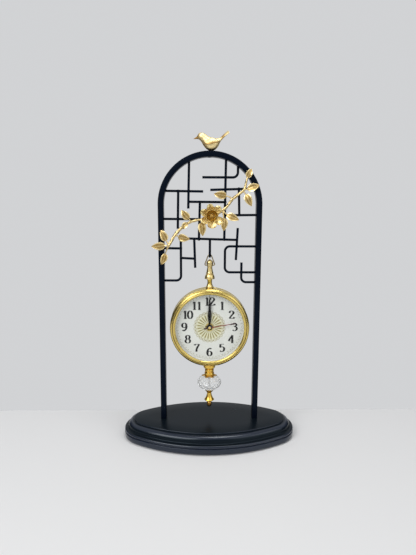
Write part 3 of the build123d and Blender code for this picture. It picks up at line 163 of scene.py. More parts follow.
table_paint, flow = new_finish("table_paint")
flow.surface(Base_Color=TABLE_TONE, Roughness=0.8, Specular_IOR_Level=0.2)
table_corners = np.array([
    (-TABLE_SIDE, TABLE_FRONT, TABLE_LEVEL), (TABLE_SIDE, TABLE_FRONT, TABLE_LEVEL),
    (TABLE_SIDE, TABLE_BACK, TABLE_LEVEL), (-TABLE_SIDE, TABLE_BACK, TABLE_LEVEL),
])
table_top = add_mesh("table_top", table_corners, [(0, 1, 2, 3)], table_paint)

world = bpy.data.worlds.new("studio")
scene.world = world
studio = clear_flow(world)
look = studio.node("ShaderNodeTexCoord", out="Generated")
to_sides = abs(look.part("X")).between(0.24, 0.66)
overhead = look.part("Z").between(0.3, 0.7)
straight_on = look.part("Y").between(0.62, 0.92)
screens = to_sides * (1.0 - overhead) * (1.0 - straight_on)
room_tone = look.part("Y").between(-0.7, 0.4).blend(ROOM_TONE, WALL_TONE)
ambient = studio.node("ShaderNodeBackground", {"Color": (0.97, 0.98, 1.0, 1), "Strength": 0.3})
room = studio.node("ShaderNodeBackground", {"Color": screens.blend(room_tone, SIDE_TONE)})
backdrop = studio.node("ShaderNodeBackground", {"Color": WALL_TONE})
mirrored = studio.node("ShaderNodeLightPath", out="Is Glossy Ray")
through = studio.node("ShaderNodeLightPath", out="Is Transmission Ray")
watched = studio.node("ShaderNodeLightPath", out="Is Camera Ray")
in_metal = studio.node("ShaderNodeMixShader", {0: mirrored, 1: ambient, 2: room})
direct = studio.math("MAXIMUM", through, watched)
behind = studio.node("ShaderNodeMixShader", {0: direct, 1: in_metal, 2: backdrop})
studio.node("ShaderNodeOutputWorld", {"Surface": behind})


def unit(vectors):
    """Vectors of length 1 with the same directions."""
    return vectors / np.linalg.norm(vectors, axis=-1, keepdims=True)


def soft_lamp(name, place, aim, size, power):
    """Square area lamp that faces a point."""
    data = bpy.data.lights.new(name, "AREA")
    data.size = size
    data.energy = power
    lamp = bpy.data.objects.new(name, data)
    scene.collection.objects.link(lamp)
    back = unit(np.subtract(place, aim))
    right = unit(np.cross((0.0, 0.0, 1.0), back))
    turn = Matrix((right, np.cross(back, right), back)).transposed().to_4x4()
    lamp.matrix_world = Matrix.Translation(place) @ turn


soft_lamp("key_lamp", (-0.75, -1.05, 1.05), (0.0, 0.0, 0.18), size=1.0, power=15.0)
soft_lamp("fill_lamp", (1.0, -0.95, 0.75), (0.0, 0.0, 0.18), size=1.3, power=6.5)
soft_lamp("top_lamp", (0.14, -0.16, 1.28), (0.0, 0.0, 0.15), size=0.45, power=3.5)

# Base board: oval board about 220 mm long, sprayed satin black. Its edge is routed with a
# narrow groove, a bead, a cove and a round. It stands on four soft pads.
BOARD = {"length": 222.0, "depth": 108.94, "end": 34.0, "foot": 1.5, "top": 23.0}


def object_place(flow):
    """Place on the object in metres."""
    return flow.node("ShaderNodeTexCoord", out="Object")


def mottled_finish(
    name, tones, scale, rough, spread, detail=3.0, dents=None, grain=None, **others
):
    """Finish whose two tones follow a cloudy noise, and so do its roughness and dents.

    With a grain, (scale, detail), a second and finer noise sets the roughness and the dents.
    """
    finish, flow = new_finish(name)
    where = object_place(flow)
    cloud = flow.noise(where, scale, detail)
    fine = flow.noise(where, *grain) if grain else cloud
    if dents:
        others["Normal"] = flow.bump(fine, *dents)
    flow.surface(Base_Color=cloud.blend(*tones), Roughness=rough + fine * spread, **others)
    return finish


def dress(finish, *nodes):
    """Gives CAD nodes a finish."""
    for node in nodes:
        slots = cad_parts[node].data.materials
        slots.clear()
        slots.append(finish)


def closed_mesh(name, points, faces, finish, relief=None, crease=None):
    """Piece with merged seams and smooth faces that look outward.

    relief is a number from 0 to 1 for every point that the finish can read. Edges that turn
    by more than the crease, in degrees, stay sharp.
    """
    piece = add_mesh(name, points.reshape(-1, 3), faces, finish)
    mesh = piece.data
    if relief is not None:
        layer = mesh.attributes.new("relief", "FLOAT", "POINT")
        marks = np.broadcast_to(np.clip(relief, 0, 1), points.shape[:-1])
        layer.data.foreach_set("value", marks.ravel().astype(np.float32))
    work = bmesh.new()
    work.from_mesh(mesh)
    bmesh.ops.remove_doubles(work, verts=work.verts, dist=1e-7)
    bmesh.ops.recalc_face_normals(work, faces=work.faces)
    work.to_mesh(mesh)
    work.free()
    mesh.shade_smooth()
    if crease is not None:
        mesh.set_sharp_from_angle(angle=np.radians(crease))
    return piece


def ring_faces(index):
    """Corners of every cell in a grid of point numbers whose last column joins its first."""
    index = np.concatenate([index, index[..., :1]], axis=-1)
    here, after = index[..., :-1, :], index[..., 1:, :]
    corners = [here[..., :-1], here[..., 1:], after[..., 1:], after[..., :-1]]
    return np.stack(corners, axis=-1).reshape(-1, 4).tolist()


def skin(name, grid, finish, ends=True, **look):
    """Piece from a grid of points: each row closes on itself, and ends closes the outer rows."""
    index = np.arange(grid.size // 3).reshape(grid.shape[:2])
    faces = ring_faces(index)
    if ends:
        faces += [index[0].tolist(), index[-1, ::-1].tolist()]
    return closed_mesh(name, grid, faces, finish, **look)


def xyz(x, y, z):
    """Points from three coordinates, which are spread to one shape."""
    return np.stack(np.broadcast_arrays(x, y, z), axis=-1)


def arc(centre, radius, start, stop, count):
    """Points on a circle from one angle to another, in degrees."""
    angle = np.radians(np.linspace(start, stop, count))
    return centre + radius * np.stack([np.cos(angle), np.sin(angle)], axis=-1)


def board_skin():
    """Edge profile round a four-centre oval: point = centre + (radius - inset) * direction."""
    half_length = BOARD["length"] / 2
    half_depth = BOARD["depth"] / 2
    end = BOARD["end"]
    side = (half_length**2 + half_depth**2 - 2 * half_length * end) / (2 * (half_depth - end))
    end_centre = half_length - end
    side_centre = side - half_depth
    corner = np.arctan2(side_centre, end_centre)
    on_right = np.linspace(-corner, corner, 48, endpoint=False)
    on_back = np.linspace(corner, np.pi - corner, 72, endpoint=False)
    turn = np.concatenate([on_right, on_back, on_right + np.pi, on_back + np.pi])
    on_end = np.abs(np.cos(turn)) > np.cos(corner) - 1e-9
    radius = np.where(on_end, end, side)
    centre_x = np.where(on_end, np.sign(np.cos(turn)) * end_centre, 0.0)
    centre_y = np.where(on_end, 0.0, -np.sign(np.sin(turn)) * side_centre)
    foot, top = BOARD["foot"], BOARD["top"]
    profile = np.concatenate([
        # inset, height
        [(30.0, foot)],
        arc((0.7, foot + 0.7), 0.7, 270, 180, 5),
        arc((0.4, foot + 6.1), 0.4, 180, 90, 4),
        [(1.1, foot + 6.8), (1.1, foot + 7.1)],
        arc((2.0, foot + 9.1), 1.9, 230, 90, 14),
        arc((3.3, foot + 11.2), 0.2, 270, 360, 3),
        arc((3.5, foot + 12.8), 1.6, -90, 0, 10),
        arc((11.5, foot + 13.1), 6.4, 180, 90, 20),
        arc((12.3, foot + 19.7), 0.2, 270, 360, 3),
        arc((13.1, top - 0.6), 0.6, 180, 90, 5),
        [(30.0, top)],
    ])
    out = radius - profile[:, :1]
    return xyz(centre_x + out * np.cos(turn), centre_y + out * np.sin(turn), profile[:, 1:])


black_lacquer, flow = new_finish("satin_black_lacquer")
where = object_place(flow)
cloud = flow.noise(where, 35.0, 4.0)
peel = flow.noise(where, 900.0, 2.0)
dust = flow.noise(where, 4200.0, 1.0).between(0.66, 0.74)
height = where.part("Z") * 1000.0
# Painted light on the edge: the mouldings get a brighter blue base colour, a painted blue sheen,
# and the cove and the narrow band under the top edge keep the dark top colour and little coat, a
# painted shade.
moulding_sheen = 1.0 - height.between(BOARD["top"] - 0.3, BOARD["top"] - 0.05)
cove = height.between(11.9, 12.5) * (1.0 - height.between(17.4, 19.4))
step = height.between(20.7, 21.1) * (1.0 - height.between(22.1, 22.5))
hollow = cove + step
flow.surface(
    Base_Color=(moulding_sheen * (1.0 - hollow)).blend(
        (cloud * 0.6 + dust * 0.5).blend((0.0022, 0.0042, 0.0072, 1), (0.0058, 0.0098, 0.014, 1)),
        (0.0075, 0.0125, 0.026, 1),
    ),
    Roughness=0.25 + cloud * 0.07 + dust * 0.1 - moulding_sheen * 0.04,
    Specular_IOR_Level=0.15,
    Specular_Tint=(0.62, 0.84, 1.0, 1),
    Coat_Weight=moulding_sheen * (0.8 - hollow * 0.76),
    Coat_Roughness=0.2,
    Normal=flow.bump(peel, 0.08, 0.0002),
)
board = skin("oval_base_board", board_skin(), black_lacquer, crease=35)
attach(board, "stand")
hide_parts("base")
pad_rubber = mottled_finish(
    "dark_pad_rubber", ((0.012, 0.012, 0.012, 1), (0.035, 0.035, 0.035, 1)),
    scale=1500.0, rough=0.75, spread=0.2, dents=(0.3, 0.0003),
)
dress(pad_rubber, "base_pads")

# Arch: one iron bar of 7 by 12 mm with eased edges, bent to a half circle over two straight
# legs and powder coated black. Two screws from below hold the legs to the board.
ARCH = {"centre": 299.0, "radius": 59.5, "face": 7.0, "depth": 12.0, "edge": 0.9, "foot": 23.0}


def bar_skin():
    """Rounded rectangle carried up one leg, round the half circle and down the other leg."""
    half_face = ARCH["face"] / 2 - ARCH["edge"]
    half_depth = ARCH["depth"] / 2 - ARCH["edge"]
    section = np.concatenate([
        arc((half_face * x, half_depth * y), ARCH["edge"], start, start + 90, 6)
        for x, y, start in ((1, 1, 0), (-1, 1, 90), (-1, -1, 180), (1, -1, 270))
    ])
    leg = np.linspace(ARCH["foot"], ARCH["centre"], 24)
    bend = np.linspace(0, np.pi, 97)[1:-1]
    level = np.zeros_like(leg)
    along_x = np.concatenate([level + 1, np.cos(bend), level - 1])[:, None]
    along_z = np.concatenate([level, np.sin(bend), level])[:, None]
    base_z = np.concatenate([leg, np.full_like(bend, ARCH["centre"]), leg[::-1]])[:, None]
    out = ARCH["radius"] + section[:, 0]
    return xyz(along_x * out, section[:, 1], base_z + along_z * out)


black_powder = mottled_finish(
    "black_powder_coat", ((0.001, 0.0024, 0.007, 1), (0.0028, 0.005, 0.011, 1)),
    scale=60.0, rough=0.24, spread=0.12, dents=(0.1, 0.0002), grain=(2600.0, 2.0),
    Specular_IOR_Level=0.1, Specular_Tint=(0.55, 0.75, 1.0, 1),
)
bar = skin("arch_bar", bar_skin(), black_powder, crease=40)
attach(bar, "stand")
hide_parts("arch_frame")
bare_steel = mottled_finish(
    "zinc_plated_steel", ((0.42, 0.42, 0.43, 1), (0.66, 0.66, 0.65, 1)),
    scale=700.0, detail=4.0, rough=0.26, spread=0.22, dents=(0.06, 0.0002), Metallic=1.0,
)
dress(
    bare_steel, "leg_screws", "leg_washers", "rear_cover_screws", "tie_rod", "stator",
    "cell_contacts",
)

# Lattice: round iron rods lapped and welded inside the arch, coated with the bar. The bead
# of each weld shows as a small lump where two rods cross.
dress(
    black_powder, "lattice_uprights", "lattice_crossbars", "lattice_top_bend",
    "lattice_left_bend", "lattice_right_bend", "lattice_right_loop", "hanger_rod",
)
WELDS = np.array([
    # x, height
    (-38.4, 315.4), (-25.2, 315.2), (-26.0, 302.6), (-12.4, 302.5), (18.5, 302.4), (18.8, 317.6),
    (34.7, 318.4), (18.9, 331.7), (18.2, 286.6), (35.4, 286.9), (-12.9, 281.7), (-39.0, 281.9),
    (-35.7, 258.4), (-19.2, 257.8), (-13.4, 257.7), (0.0, 257.4), (17.7, 256.9), (33.0, 256.5),
    (-35.7, 245.9), (-35.7, 234.0), (-18.6, 233.0), (32.9, 248.5), (39.2, 216.0),
])


def full_turn(count):
    """Angles evenly round a circle."""
    return np.linspace(0, 2 * np.pi, count, endpoint=False)


def beads(name, places, size, finish):
    """Ellipsoids in one mesh: place + size * (cos a sin b, sin a sin b, cos b)."""
    a = full_turn(16)
    b = np.linspace(0, np.pi, 9)[:, None]
    ball = xyz(np.cos(a) * np.sin(b), np.sin(a) * np.sin(b), np.cos(b))
    grids = places[:, None, None, :] + ball * size
    index = np.arange(grids.size // 3).reshape(grids.shape[:3])
    return closed_mesh(name, grids, ring_faces(index), finish)


weld_places = xyz(WELDS[:, 0], 0.0, WELDS[:, 1])
welds = beads("lattice_weld_beads", weld_places, (1.7, 1.45, 1.7), black_powder)
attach(welds, "stand")

# Branch: cast brass stem with knots and a rough bark, finished in old gold. It is brazed to
# the lattice rods and reaches in front of the bar at both ends.
STEM_ROWS, STEM_TURNS = 360, 24
STEM_ROUTE = np.array([
    # x, y, height, radius
    (-52.2, -7.8, 246.4, 1.15), (-48.6, -7.5, 252.6, 1.6), (-44.9, -6.9, 259.0, 1.75),
    (-41.1, -6.2, 264.7, 1.8), (-35.4, -5.3, 270.6, 1.75), (-29.0, -4.7, 275.8, 1.65),
    (-23.2, -4.6, 278.6, 1.5), (-17.1, -4.6, 280.4, 1.4), (-10.4, -4.6, 281.6, 1.35),
    (-4.2, -4.6, 282.9, 1.35), (4.0, -4.6, 286.4, 1.4), (12.2, -4.6, 290.4, 1.5),
    (19.0, -4.7, 295.7, 1.6), (23.0, -5.3, 300.8, 1.65), (26.8, -6.1, 305.7, 1.65),
    (33.5, -6.9, 311.2, 1.55), (38.4, -7.5, 314.9, 1.5), (41.0, -7.8, 318.6, 1.45),
    (42.3, -7.8, 324.0, 1.35), (43.7, -7.8, 331.0, 1.1),
])
KNOT_PLACES = np.array([0.03, 0.17, 0.36, 0.5, 0.62, 0.76, 0.87])


def smooth_route(points, count):
    """Catmull-Rom curve through the points, at evenly spaced parameters."""
    padded = np.concatenate([2 * points[:1] - points[1:2], points, 2 * points[-1:] - points[-2:-1]])
    along = np.linspace(0, len(points) - 1 - 1e-9, count)
    step = along.astype(int)
    t = (along - step)[:, None]
    a, b, c, d = padded[step], padded[step + 1], padded[step + 2], padded[step + 3]
    square, cube = 2 * a - 5 * b + 4 * c - d, 3 * b - a - 3 * c + d
    return 0.5 * (2 * b + (c - a) * t + square * t**2 + cube * t**3)


def tube_skin(route, radius, turns):
    """Circles round a route: route + radius * (cos a * side + sin a * lift)."""
    run = unit(np.gradient(route, axis=0))
    side = unit(np.cross(run, (0.0, 1.0, 0.0)))
    lift = np.cross(side, run)
    a = full_turn(turns)[:, None]
    ring = np.cos(a) * side[:, None, :] + np.sin(a) * lift[:, None, :]
    return route[:, None, :] + radius[..., None] * ring


def old_gold_finish(name, bright, dark, rough, dents):
    """Brushed brass, darker where relief is high: waxed hollows, and painted shade on some pieces.
    """
    finish, flow = new_finish(name)
    where = object_place(flow)
    relief = flow.node("ShaderNodeAttribute", out="Fac", attribute_name="relief")
    cloud = flow.noise(where, 180.0, 4.0)
    grain = flow.noise(where, 1500.0)
    wax_and_shade = flow.math("MINIMUM", relief * 0.95 + cloud.between(0.54, 0.78) * 0.22, 1.0)
    flow.surface(
        Base_Color=wax_and_shade.blend(bright, dark),
        Metallic=1.0,
        Roughness=rough + grain * 0.12 + wax_and_shade * 0.12,
        Normal=flow.bump(grain + cloud * 1.5, dents, 0.0004),
    )
    return finish


branch_gold = old_gold_finish(
    "old_gold_branch", (0.97, 0.79, 0.41, 1), (0.31, 0.18, 0.035, 1), rough=0.25, dents=0.14
)
route = smooth_route(STEM_ROUTE, STEM_ROWS)
along = np.linspace(0, 1, STEM_ROWS)[:, None]
knots = np.exp(-(((along - KNOT_PLACES) / 0.012) ** 2)).sum(1)
turn = full_turn(STEM_TURNS)
bark = 0.09 * np.sin(5 * turn + 60 * along) + 0.06 * np.sin(3 * turn - 150 * along)
thickness = (route[:, 3] + 0.3 * knots)[:, None] + bark
thickness[[0, -1]] = 0.15
stem_grid = tube_skin(route[:, :3], thickness, STEM_TURNS)
stem = skin("branch_bark", stem_grid, branch_gold, relief=0.4 - 3.5 * bark)
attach(stem, "stand")
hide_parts("branch_stem")

# Leaves: thin cast brass blades with a midrib, side veins and a raised rim, cupped a little
# and gilded with the stem. A round stalk joins each one to the stem.
LEAF_Y = -7.4
LEAVES = np.array([
    # where the stalk leaves the stem, where the blade starts, tip
    ((-51.4, -7.8, 247.8), (-54.2, LEAF_Y, 240.2), (-59.4, LEAF_Y, 226.6)),
    ((-50.6, -7.8, 249.1), (-54.6, LEAF_Y, 250.2), (-71.3, LEAF_Y, 249.0)),
    ((-49.8, -7.8, 250.4), (-53.2, LEAF_Y, 255.8), (-59.4, LEAF_Y, 268.9)),
    ((-42.5, -6.2, 262.5), (-38.6, -6.4, 260.9), (-24.5, LEAF_Y, 257.9)),
    ((-27.0, -4.6, 276.6), (-27.6, LEAF_Y, 277.6), (-34.0, LEAF_Y, 269.9)),
    ((-23.2, -4.6, 278.1), (-25.4, LEAF_Y, 282.4), (-34.4, LEAF_Y, 292.6)),
    ((-10.4, -4.6, 281.6), (-10.6, LEAF_Y, 278.0), (-8.8, LEAF_Y, 261.7)),
    ((14.6, -4.6, 292.3), (16.8, LEAF_Y, 283.4), (16.2, LEAF_Y, 267.9)),
    ((14.6, -4.6, 292.3), (19.8, LEAF_Y, 286.8), (34.9, LEAF_Y, 281.0)),
    ((26.8, -6.2, 305.9), (19.4, LEAF_Y, 309.8), (4.3, LEAF_Y, 312.0)),
    ((39.6, -7.8, 316.2), (44.4, LEAF_Y, 317.2), (58.7, LEAF_Y, 322.4)),
    ((38.4, -7.8, 315.2), (42.8, LEAF_Y, 311.8), (49.7, LEAF_Y, 297.4)),
    ((43.4, -7.8, 329.5), (43.8, LEAF_Y, 331.0), (48.8, LEAF_Y, 341.2)),
])
LEAF_WIDTHS = (8.2, 9.6, 9.0, 9.4, 6.8, 9.0, 9.6, 9.0, 9.0, 9.6, 9.2, 9.0, 7.6)
LEAF_TILTS = (0.22, 0.1, -0.18, -0.1, -0.15, 0.2, 0.16, 0.18, 0.15, 0.12, 0.22, -0.15, 0.1)
toward_viewer = np.array([0.0, -1.0, 0.0])


def blade_skin(base, tip, facing, width, shape, lift, thick, rows=48, columns=40, notch=0.0):
    """Closed blade: base + s * run + half width * cos a * side + (thick * sin a + lift) * facing.

    A notch shortens s between three lobes at the tip. Returns the grid and, for every point,
    its place along s, its place across t and whether it is in front.
    """
    run = tip - base
    facing = unit(facing - run * np.dot(facing, run) / np.dot(run, run))
    side = np.cross(facing, run) / np.linalg.norm(run)
    s = np.linspace(0, 1, rows)[:, None]
    a = full_turn(columns)
    t = np.cos(a) + 0 * s
    half = width / 2 * shape(s)
    rise = thick / 2 * np.sin(a) * np.sqrt(np.clip(shape(s), 0, 1)) + lift(s, t, np.sin(a) > 0)
    reach = s - notch * s**3 * (1 - np.abs(np.cos(1.5 * np.pi * t)))
    grid = base + reach[..., None] * run + (half * t)[..., None] * side + rise[..., None] * facing
    return grid, s + 0 * t, t, np.sin(a) + 0 * s > 0


def leaf_outline(s):
    """Egg shape, broad near its base and pointed at its tip: s**0.55 * (1 - s)**0.95."""
    return np.clip(s, 0, 1) ** 0.55 * np.clip(1 - s, 0, 1) ** 0.95 / 0.373 + 0.02


def leaf_vein(s, t):
    """Midrib and slanting side veins as ridges between 0 and 1."""
    rib = np.exp(-((t / 0.11) ** 2))
    phase = 8.0 * (s - 0.34 * np.abs(t))
    side = np.exp(-(((phase - np.round(phase)) / 0.15) ** 2)) * (np.abs(t) < 0.85)
    return np.maximum(rib, 0.5 * side)


def leaf_lift(s, t, front):
    """Arched along its length, edges turned up, with raised veins in front."""
    arched = 1.2 * np.sin(np.pi * s) + 1.15 * np.abs(t) ** 1.6 * np.sin(np.pi * s) ** 0.7
    return arched + np.where(front, 0.22 * leaf_vein(s, t), 0.0)


for number, (root, base, tip) in enumerate(LEAVES):
    middle = (root + base) / 2 + np.array([0.0, -0.3, 0.4])
    stalk_route = smooth_route(np.array([root, middle, base + 0.14 * (tip - base)]), 24)
    stalk_grid = tube_skin(stalk_route, np.linspace(1.1, 0.6, 24)[:, None], 12)
    stalk = skin(f"leaf_stalk_{number:02d}", stalk_grid, branch_gold, relief=0.25)
    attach(stalk, "stand")
for number, ((_, base, tip), width, tilt) in enumerate(zip(LEAVES, LEAF_WIDTHS, LEAF_TILTS)):
    facing = toward_viewer + tilt * unit(np.cross(toward_viewer, tip - base))
    grid, s, t, front = blade_skin(base, tip, facing, width, leaf_outline, leaf_lift, thick=0.75)
    rim = np.clip((np.abs(t) - 0.6) / 0.16, 0, 1)
    relief = np.where(front, 0.96 * (1 - 0.7 * leaf_vein(s, t)) * (1 - rim), 0.45)
    leaf = skin(f"branch_leaf_{number:02d}", grid, branch_gold, relief=relief)
    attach(leaf, "stand")
    if number == 0:
        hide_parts("branch_leaves")

# Flower: two layers of stamped and cupped petals round a boss with stamens, riveted to the
# stem. The lower petals are broad and round, the upper ones notched at their tips.
FLOWER = np.array([2.2, -6.2, 286.1])
STAMENS = 14
GOLDEN_TURN = 2.39996
OUTER_PETALS = (
    # bearing from the right in degrees, reach, width, notch of the tip
    (48.0, 15.2, 12.6, 0.26), (102.0, 14.6, 12.4, 0.28), (158.0, 15.0, 12.4, 0.26),
    (214.0, 14.6, 12.6, 0.08), (270.0, 15.2, 14.0, 0.0), (326.0, 15.4, 13.4, 0.05),
)
INNER_PETALS = (
    (20.0, 8.2, 8.0, 0.16), (78.0, 8.0, 7.8, 0.16), (136.0, 8.2, 8.0, 0.16),
    (192.0, 8.0, 7.8, 0.1), (248.0, 7.8, 7.8, 0.06), (306.0, 7.8, 7.8, 0.08),
)


def petal_outline(s):
    """Narrow claw that opens to a broad round end."""
    return np.clip(s + 0.06, 0, 1) ** 0.75 * np.sqrt(np.clip(1 - s**5, 0, 1)) + 0.02


def petal_lines(s, t):
    """Fine lines that fan out from the claw."""
    return 0.5 + 0.5 * np.cos(9.0 * np.pi * t * (0.5 + 0.5 * s))


def petal_ring(name, finish, petals, forward, bowl, hollow, seat, dark_until):
    """Petals round the boss: each leaves the seat outwards, rises forward and curls at its rim."""
    for number, (bearing, reach, width, notch) in enumerate(petals):
        angle = np.radians(bearing)
        out = np.array([np.cos(angle), 0.0, np.sin(angle)])
        base = FLOWER + seat * toward_viewer + 1.2 * out
        tip = FLOWER + out * reach + (seat + forward) * toward_viewer

        def petal_lift(s, t, front):
            """Bowl along the petal, hollow across it, a wavy rim and fine lines in front."""
            rim = 0.4 * np.sin(3.0 * t + number) * s**4
            across = hollow * t**2 * np.sin(np.pi * np.clip(s, 0, 0.75) / 1.5)
            lines = np.where(front, 0.12 * petal_lines(s, t) * s, 0.0)
            return across - bowl * np.sin(np.pi * s) + rim + lines

        grid, s, t, front = blade_skin(
            base, tip, toward_viewer - out * forward / reach, width, petal_outline, petal_lift,
            thick=0.7, rows=44, columns=48, notch=notch,
        )
        shade = np.clip((dark_until - s) / 0.3 + 0.5, 0, 1)
        furrow = 0.45 * (1 - petal_lines(s, t)) * (0.3 + 2.0 * notch)
        relief = np.where(front, shade + furrow, 0.5)
        petal = skin(f"{name}_{number}", grid, finish, relief=relief)
        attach(petal, "stand")
        if number == 0:
            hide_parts(f"flower_{name}s")


def turned(name, finish, parts, centre, turns=96, axis="z", **look):
    """Piece from an outline of (radius, height), given in parts, that goes once round an axis."""
    profile = np.concatenate(parts)
    a = full_turn(turns)
    x, y, height = profile[:, :1] * np.cos(a), profile[:, :1] * np.sin(a), profile[:, 1:]
    grid = xyz(x, y, height) if axis == "z" else xyz(x, -height, y)
    return skin(name, centre + grid, finish, **look)


petal_gold = old_gold_finish(
    "bright_petal_gold", (0.98, 0.82, 0.4, 1), (0.43, 0.28, 0.045, 1), rough=0.3, dents=0.06
)
# A darker gold stands for painted shade in the flower's heart, on the inner petals, boss and
# stamens, and on the finial's leaf cup.
shaded_gold = old_gold_finish(
    "shaded_heart_gold", (0.9, 0.67, 0.24, 1), (0.35, 0.18, 0.018, 1), rough=0.34, dents=0.1
)
petal_ring(
    "outer_petal", petal_gold, OUTER_PETALS,
    forward=4.2, bowl=1.5, hollow=1.5, seat=0.4, dark_until=0.36,
)
petal_ring(
    "inner_petal", shaded_gold, INNER_PETALS,
    forward=5.4, bowl=1.6, hollow=1.0, seat=1.2, dark_until=0.74,
)
turn = np.arange(STAMENS) * GOLDEN_TURN
out = 0.84 * np.sqrt(np.arange(STAMENS) + 0.4)
stamen_places = FLOWER + xyz(out * np.cos(turn), -4.2 + 0.25 * out, out * np.sin(turn))
stamens = beads("flower_stamens", stamen_places, (0.5, 0.7, 0.5), shaded_gold)
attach(stamens, "stand")
boss_parts = [[(0.01, 0.0), (2.4, 0.0), (2.8, 1.6), (2.4, 2.9), (1.4, 3.7), (0.01, 4.0)]]
boss = turned("flower_boss", shaded_gold, boss_parts, FLOWER, turns=32, axis="y", relief=0.9)
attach(boss, "stand")
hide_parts("flower_centre")

# Bird: small cast brass bird with folded wings and a raised tail, polished and lacquered. It
# sits on the top of the arch and a screw from below holds it.
BIRD_ROWS = 190
BIRD_SPINE = np.array([
    # x, height, half height, half width, turn of the blade in degrees
    (-20.0, 375.7, 0.15, 0.15, 0), (-18.2, 376.2, 0.65, 0.65, 0), (-16.4, 376.8, 1.15, 1.1, 0),
    (-15.0, 377.3, 1.9, 1.8, 0), (-13.8, 377.9, 3.2, 2.9, 0), (-12.2, 378.4, 4.3, 3.8, 0),
    (-10.2, 378.1, 4.85, 4.3, 0), (-7.8, 376.3, 5.3, 4.7, 0), (-5.4, 373.6, 6.1, 5.5, 0),
    (-2.6, 371.2, 7.1, 6.4, 0), (0.8, 369.7, 7.5, 7.0, 0), (4.0, 369.9, 6.9, 6.9, 0),
    (7.0, 371.3, 5.3, 5.8, 0), (9.6, 373.5, 3.4, 4.6, 4), (11.8, 375.4, 2.0, 3.4, 14),
    (14.6, 378.0, 1.3, 2.7, 28), (18.2, 381.4, 1.1, 2.6, 36), (21.7, 384.1, 0.75, 2.9, 40),
])
bird_gold = old_gold_finish(
    "bright_gold_bird", (0.93, 0.765, 0.4, 1), (0.36, 0.19, 0.03, 1), rough=0.38, dents=0.02
)
spine = smooth_route(BIRD_SPINE, BIRD_ROWS)
spine_route = xyz(spine[:, 0], 0.0, spine[:, 1])
upward = np.cross(unit(np.gradient(spine_route, axis=0)), toward_viewer)
upward *= np.sign(upward[:, 2:3])
upward = unit(upward + np.array([0.0, 0.0, 0.9]))
sideways = np.array([0.0, 1.0, 0.0])
blade_turn = np.radians(spine[:, 4:5])
broad = np.cos(blade_turn) * sideways + np.sin(blade_turn) * upward
thin = np.cos(blade_turn) * upward - np.sin(blade_turn) * sideways
a = full_turn(72)
on_tail = np.clip((spine[:, :1] - 11.0) / 3.0, 0, 1)
vane = 0.06 * np.cos(7 * np.arccos(np.clip(np.cos(a), -1, 1))) * on_tail
half_height = np.clip(spine[:, 2:3] + vane, 0.05, None)
half_width = np.clip(spine[:, 3:4], 0.05, None)
bird_grid = (
    spine_route[:, None, :]
    + (half_width * np.cos(a))[..., None] * broad[:, None, :]
    + (half_height * np.sin(a))[..., None] * thin[:, None, :]
)
bird_x, bird_z = bird_grid[..., 0], bird_grid[..., 2]
# Painted shade on the bird: the belly, the lower chest and the face are darkened as shade. The
# beak, cheeks and tail root are darker too, and the tail's ridges are lighter.
on_beak = np.clip((-14.6 - bird_x) / 0.8, 0, 1)
on_chest = np.clip((-2.5 - bird_x) / 3.5, 0, 1) * np.clip((374.5 - bird_z) / 5.0, 0, 1)
on_cheek = np.exp(-(((bird_x + 11.5) / 2.4) ** 2) - (((bird_z - 375.4) / 1.8) ** 2))
on_belly = np.clip((364.6 - bird_z) / 2.0, 0, 1)
on_face = np.clip((-11.4 - bird_x) / 3.0, 0, 1)
tail_root = np.exp(-(((bird_x - 14.8) / 3.0) ** 2)) * on_tail
bird_shade_and_marks = 0.04 + 0.9 * on_beak + 0.5 * on_chest + 0.45 * on_cheek + 0.45 * on_face
bird_shade_and_marks += 0.7 * on_belly + 0.8 * tail_root - 2.0 * vane * on_tail
bird = skin("cast_bird", bird_grid, bird_gold, relief=bird_shade_and_marks)
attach(bird, "stand")
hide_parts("bird")


def wing_outline(s):
    """Round shoulder over 0.3 of the length, then a long taper to a narrow tip."""
    shoulder = np.sqrt(np.clip(1 - (1 - s / 0.3) ** 2, 0, 1))
    taper = np.cos((s - 0.3) / 0.7 * np.pi / 2) ** 0.62
    return np.where(s < 0.3, shoulder, taper) + 0.03


def wing_feathers(s, t):
    """Rows of overlapping feathers toward the tip of the wing, as ridges between 0 and 1."""
    rows = 3.0 * (t * 0.5 + 0.5) + 0.9 * s
    return (rows - np.floor(rows)) * np.clip((s - 0.4) / 0.3, 0, 1)


def wing_lift(s, t, front):
    """Wraps round the body and steps from feather to feather."""
    feathers = np.where(front, 0.12 * wing_feathers(s, t), 0.0)
    return 2.1 * np.sin(np.pi * s) - 0.6 * t**2 + feathers


for side, label in ((-1.0, "near"), (1.0, "far")):
    base = np.array([-7.2, side * 4.9, 371.8])
    tip = np.array([10.4, side * 4.0, 372.9])
    facing = np.array([0.0, side, 0.68])
    grid, s, t, front = blade_skin(
        base, tip, facing, 9.6, wing_outline, wing_lift, thick=1.2, rows=64, columns=48
    )
    # The lower edge of each wing is darkened as painted shade.
    under_edge_shade = np.clip((t * side - 0.35) / 0.45, 0, 1)
    furrow = 0.25 * (1 - wing_feathers(s, t)) ** 4 * (s > 0.5)
    relief = np.where(front, 0.85 * under_edge_shade + furrow, 0.7)
    wing = skin(f"bird_wing_{label}", grid, bird_gold, relief=relief)
    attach(wing, "stand")

eye_black = mottled_finish(
    "dark_eye_enamel", ((0.01, 0.008, 0.006, 1), (0.03, 0.022, 0.014, 1)),
    scale=900.0, rough=0.12, spread=0.1,
)
eye_places = np.array([(-12.9, -3.3, 379.6), (-12.9, 3.3, 379.6)])
eyes = beads("bird_eyes", eye_places, (0.6, 0.4, 0.6), eye_black)
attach(eyes, "stand")
screw_parts = [
    [(0.01, 354.3), (1.2, 354.35), (2.2, 354.6), (2.7, 354.95), (2.75, 355.0)],
    [(1.45, 355.05), (1.4, 366.6), (0.01, 367.0)],
]
low_screw = turned(
    "bird_low_head_screw", black_powder, screw_parts, (-1.0, 0.0, 0.0), turns=40, crease=40
)
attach(low_screw, "stand")
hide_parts("bird_screw")

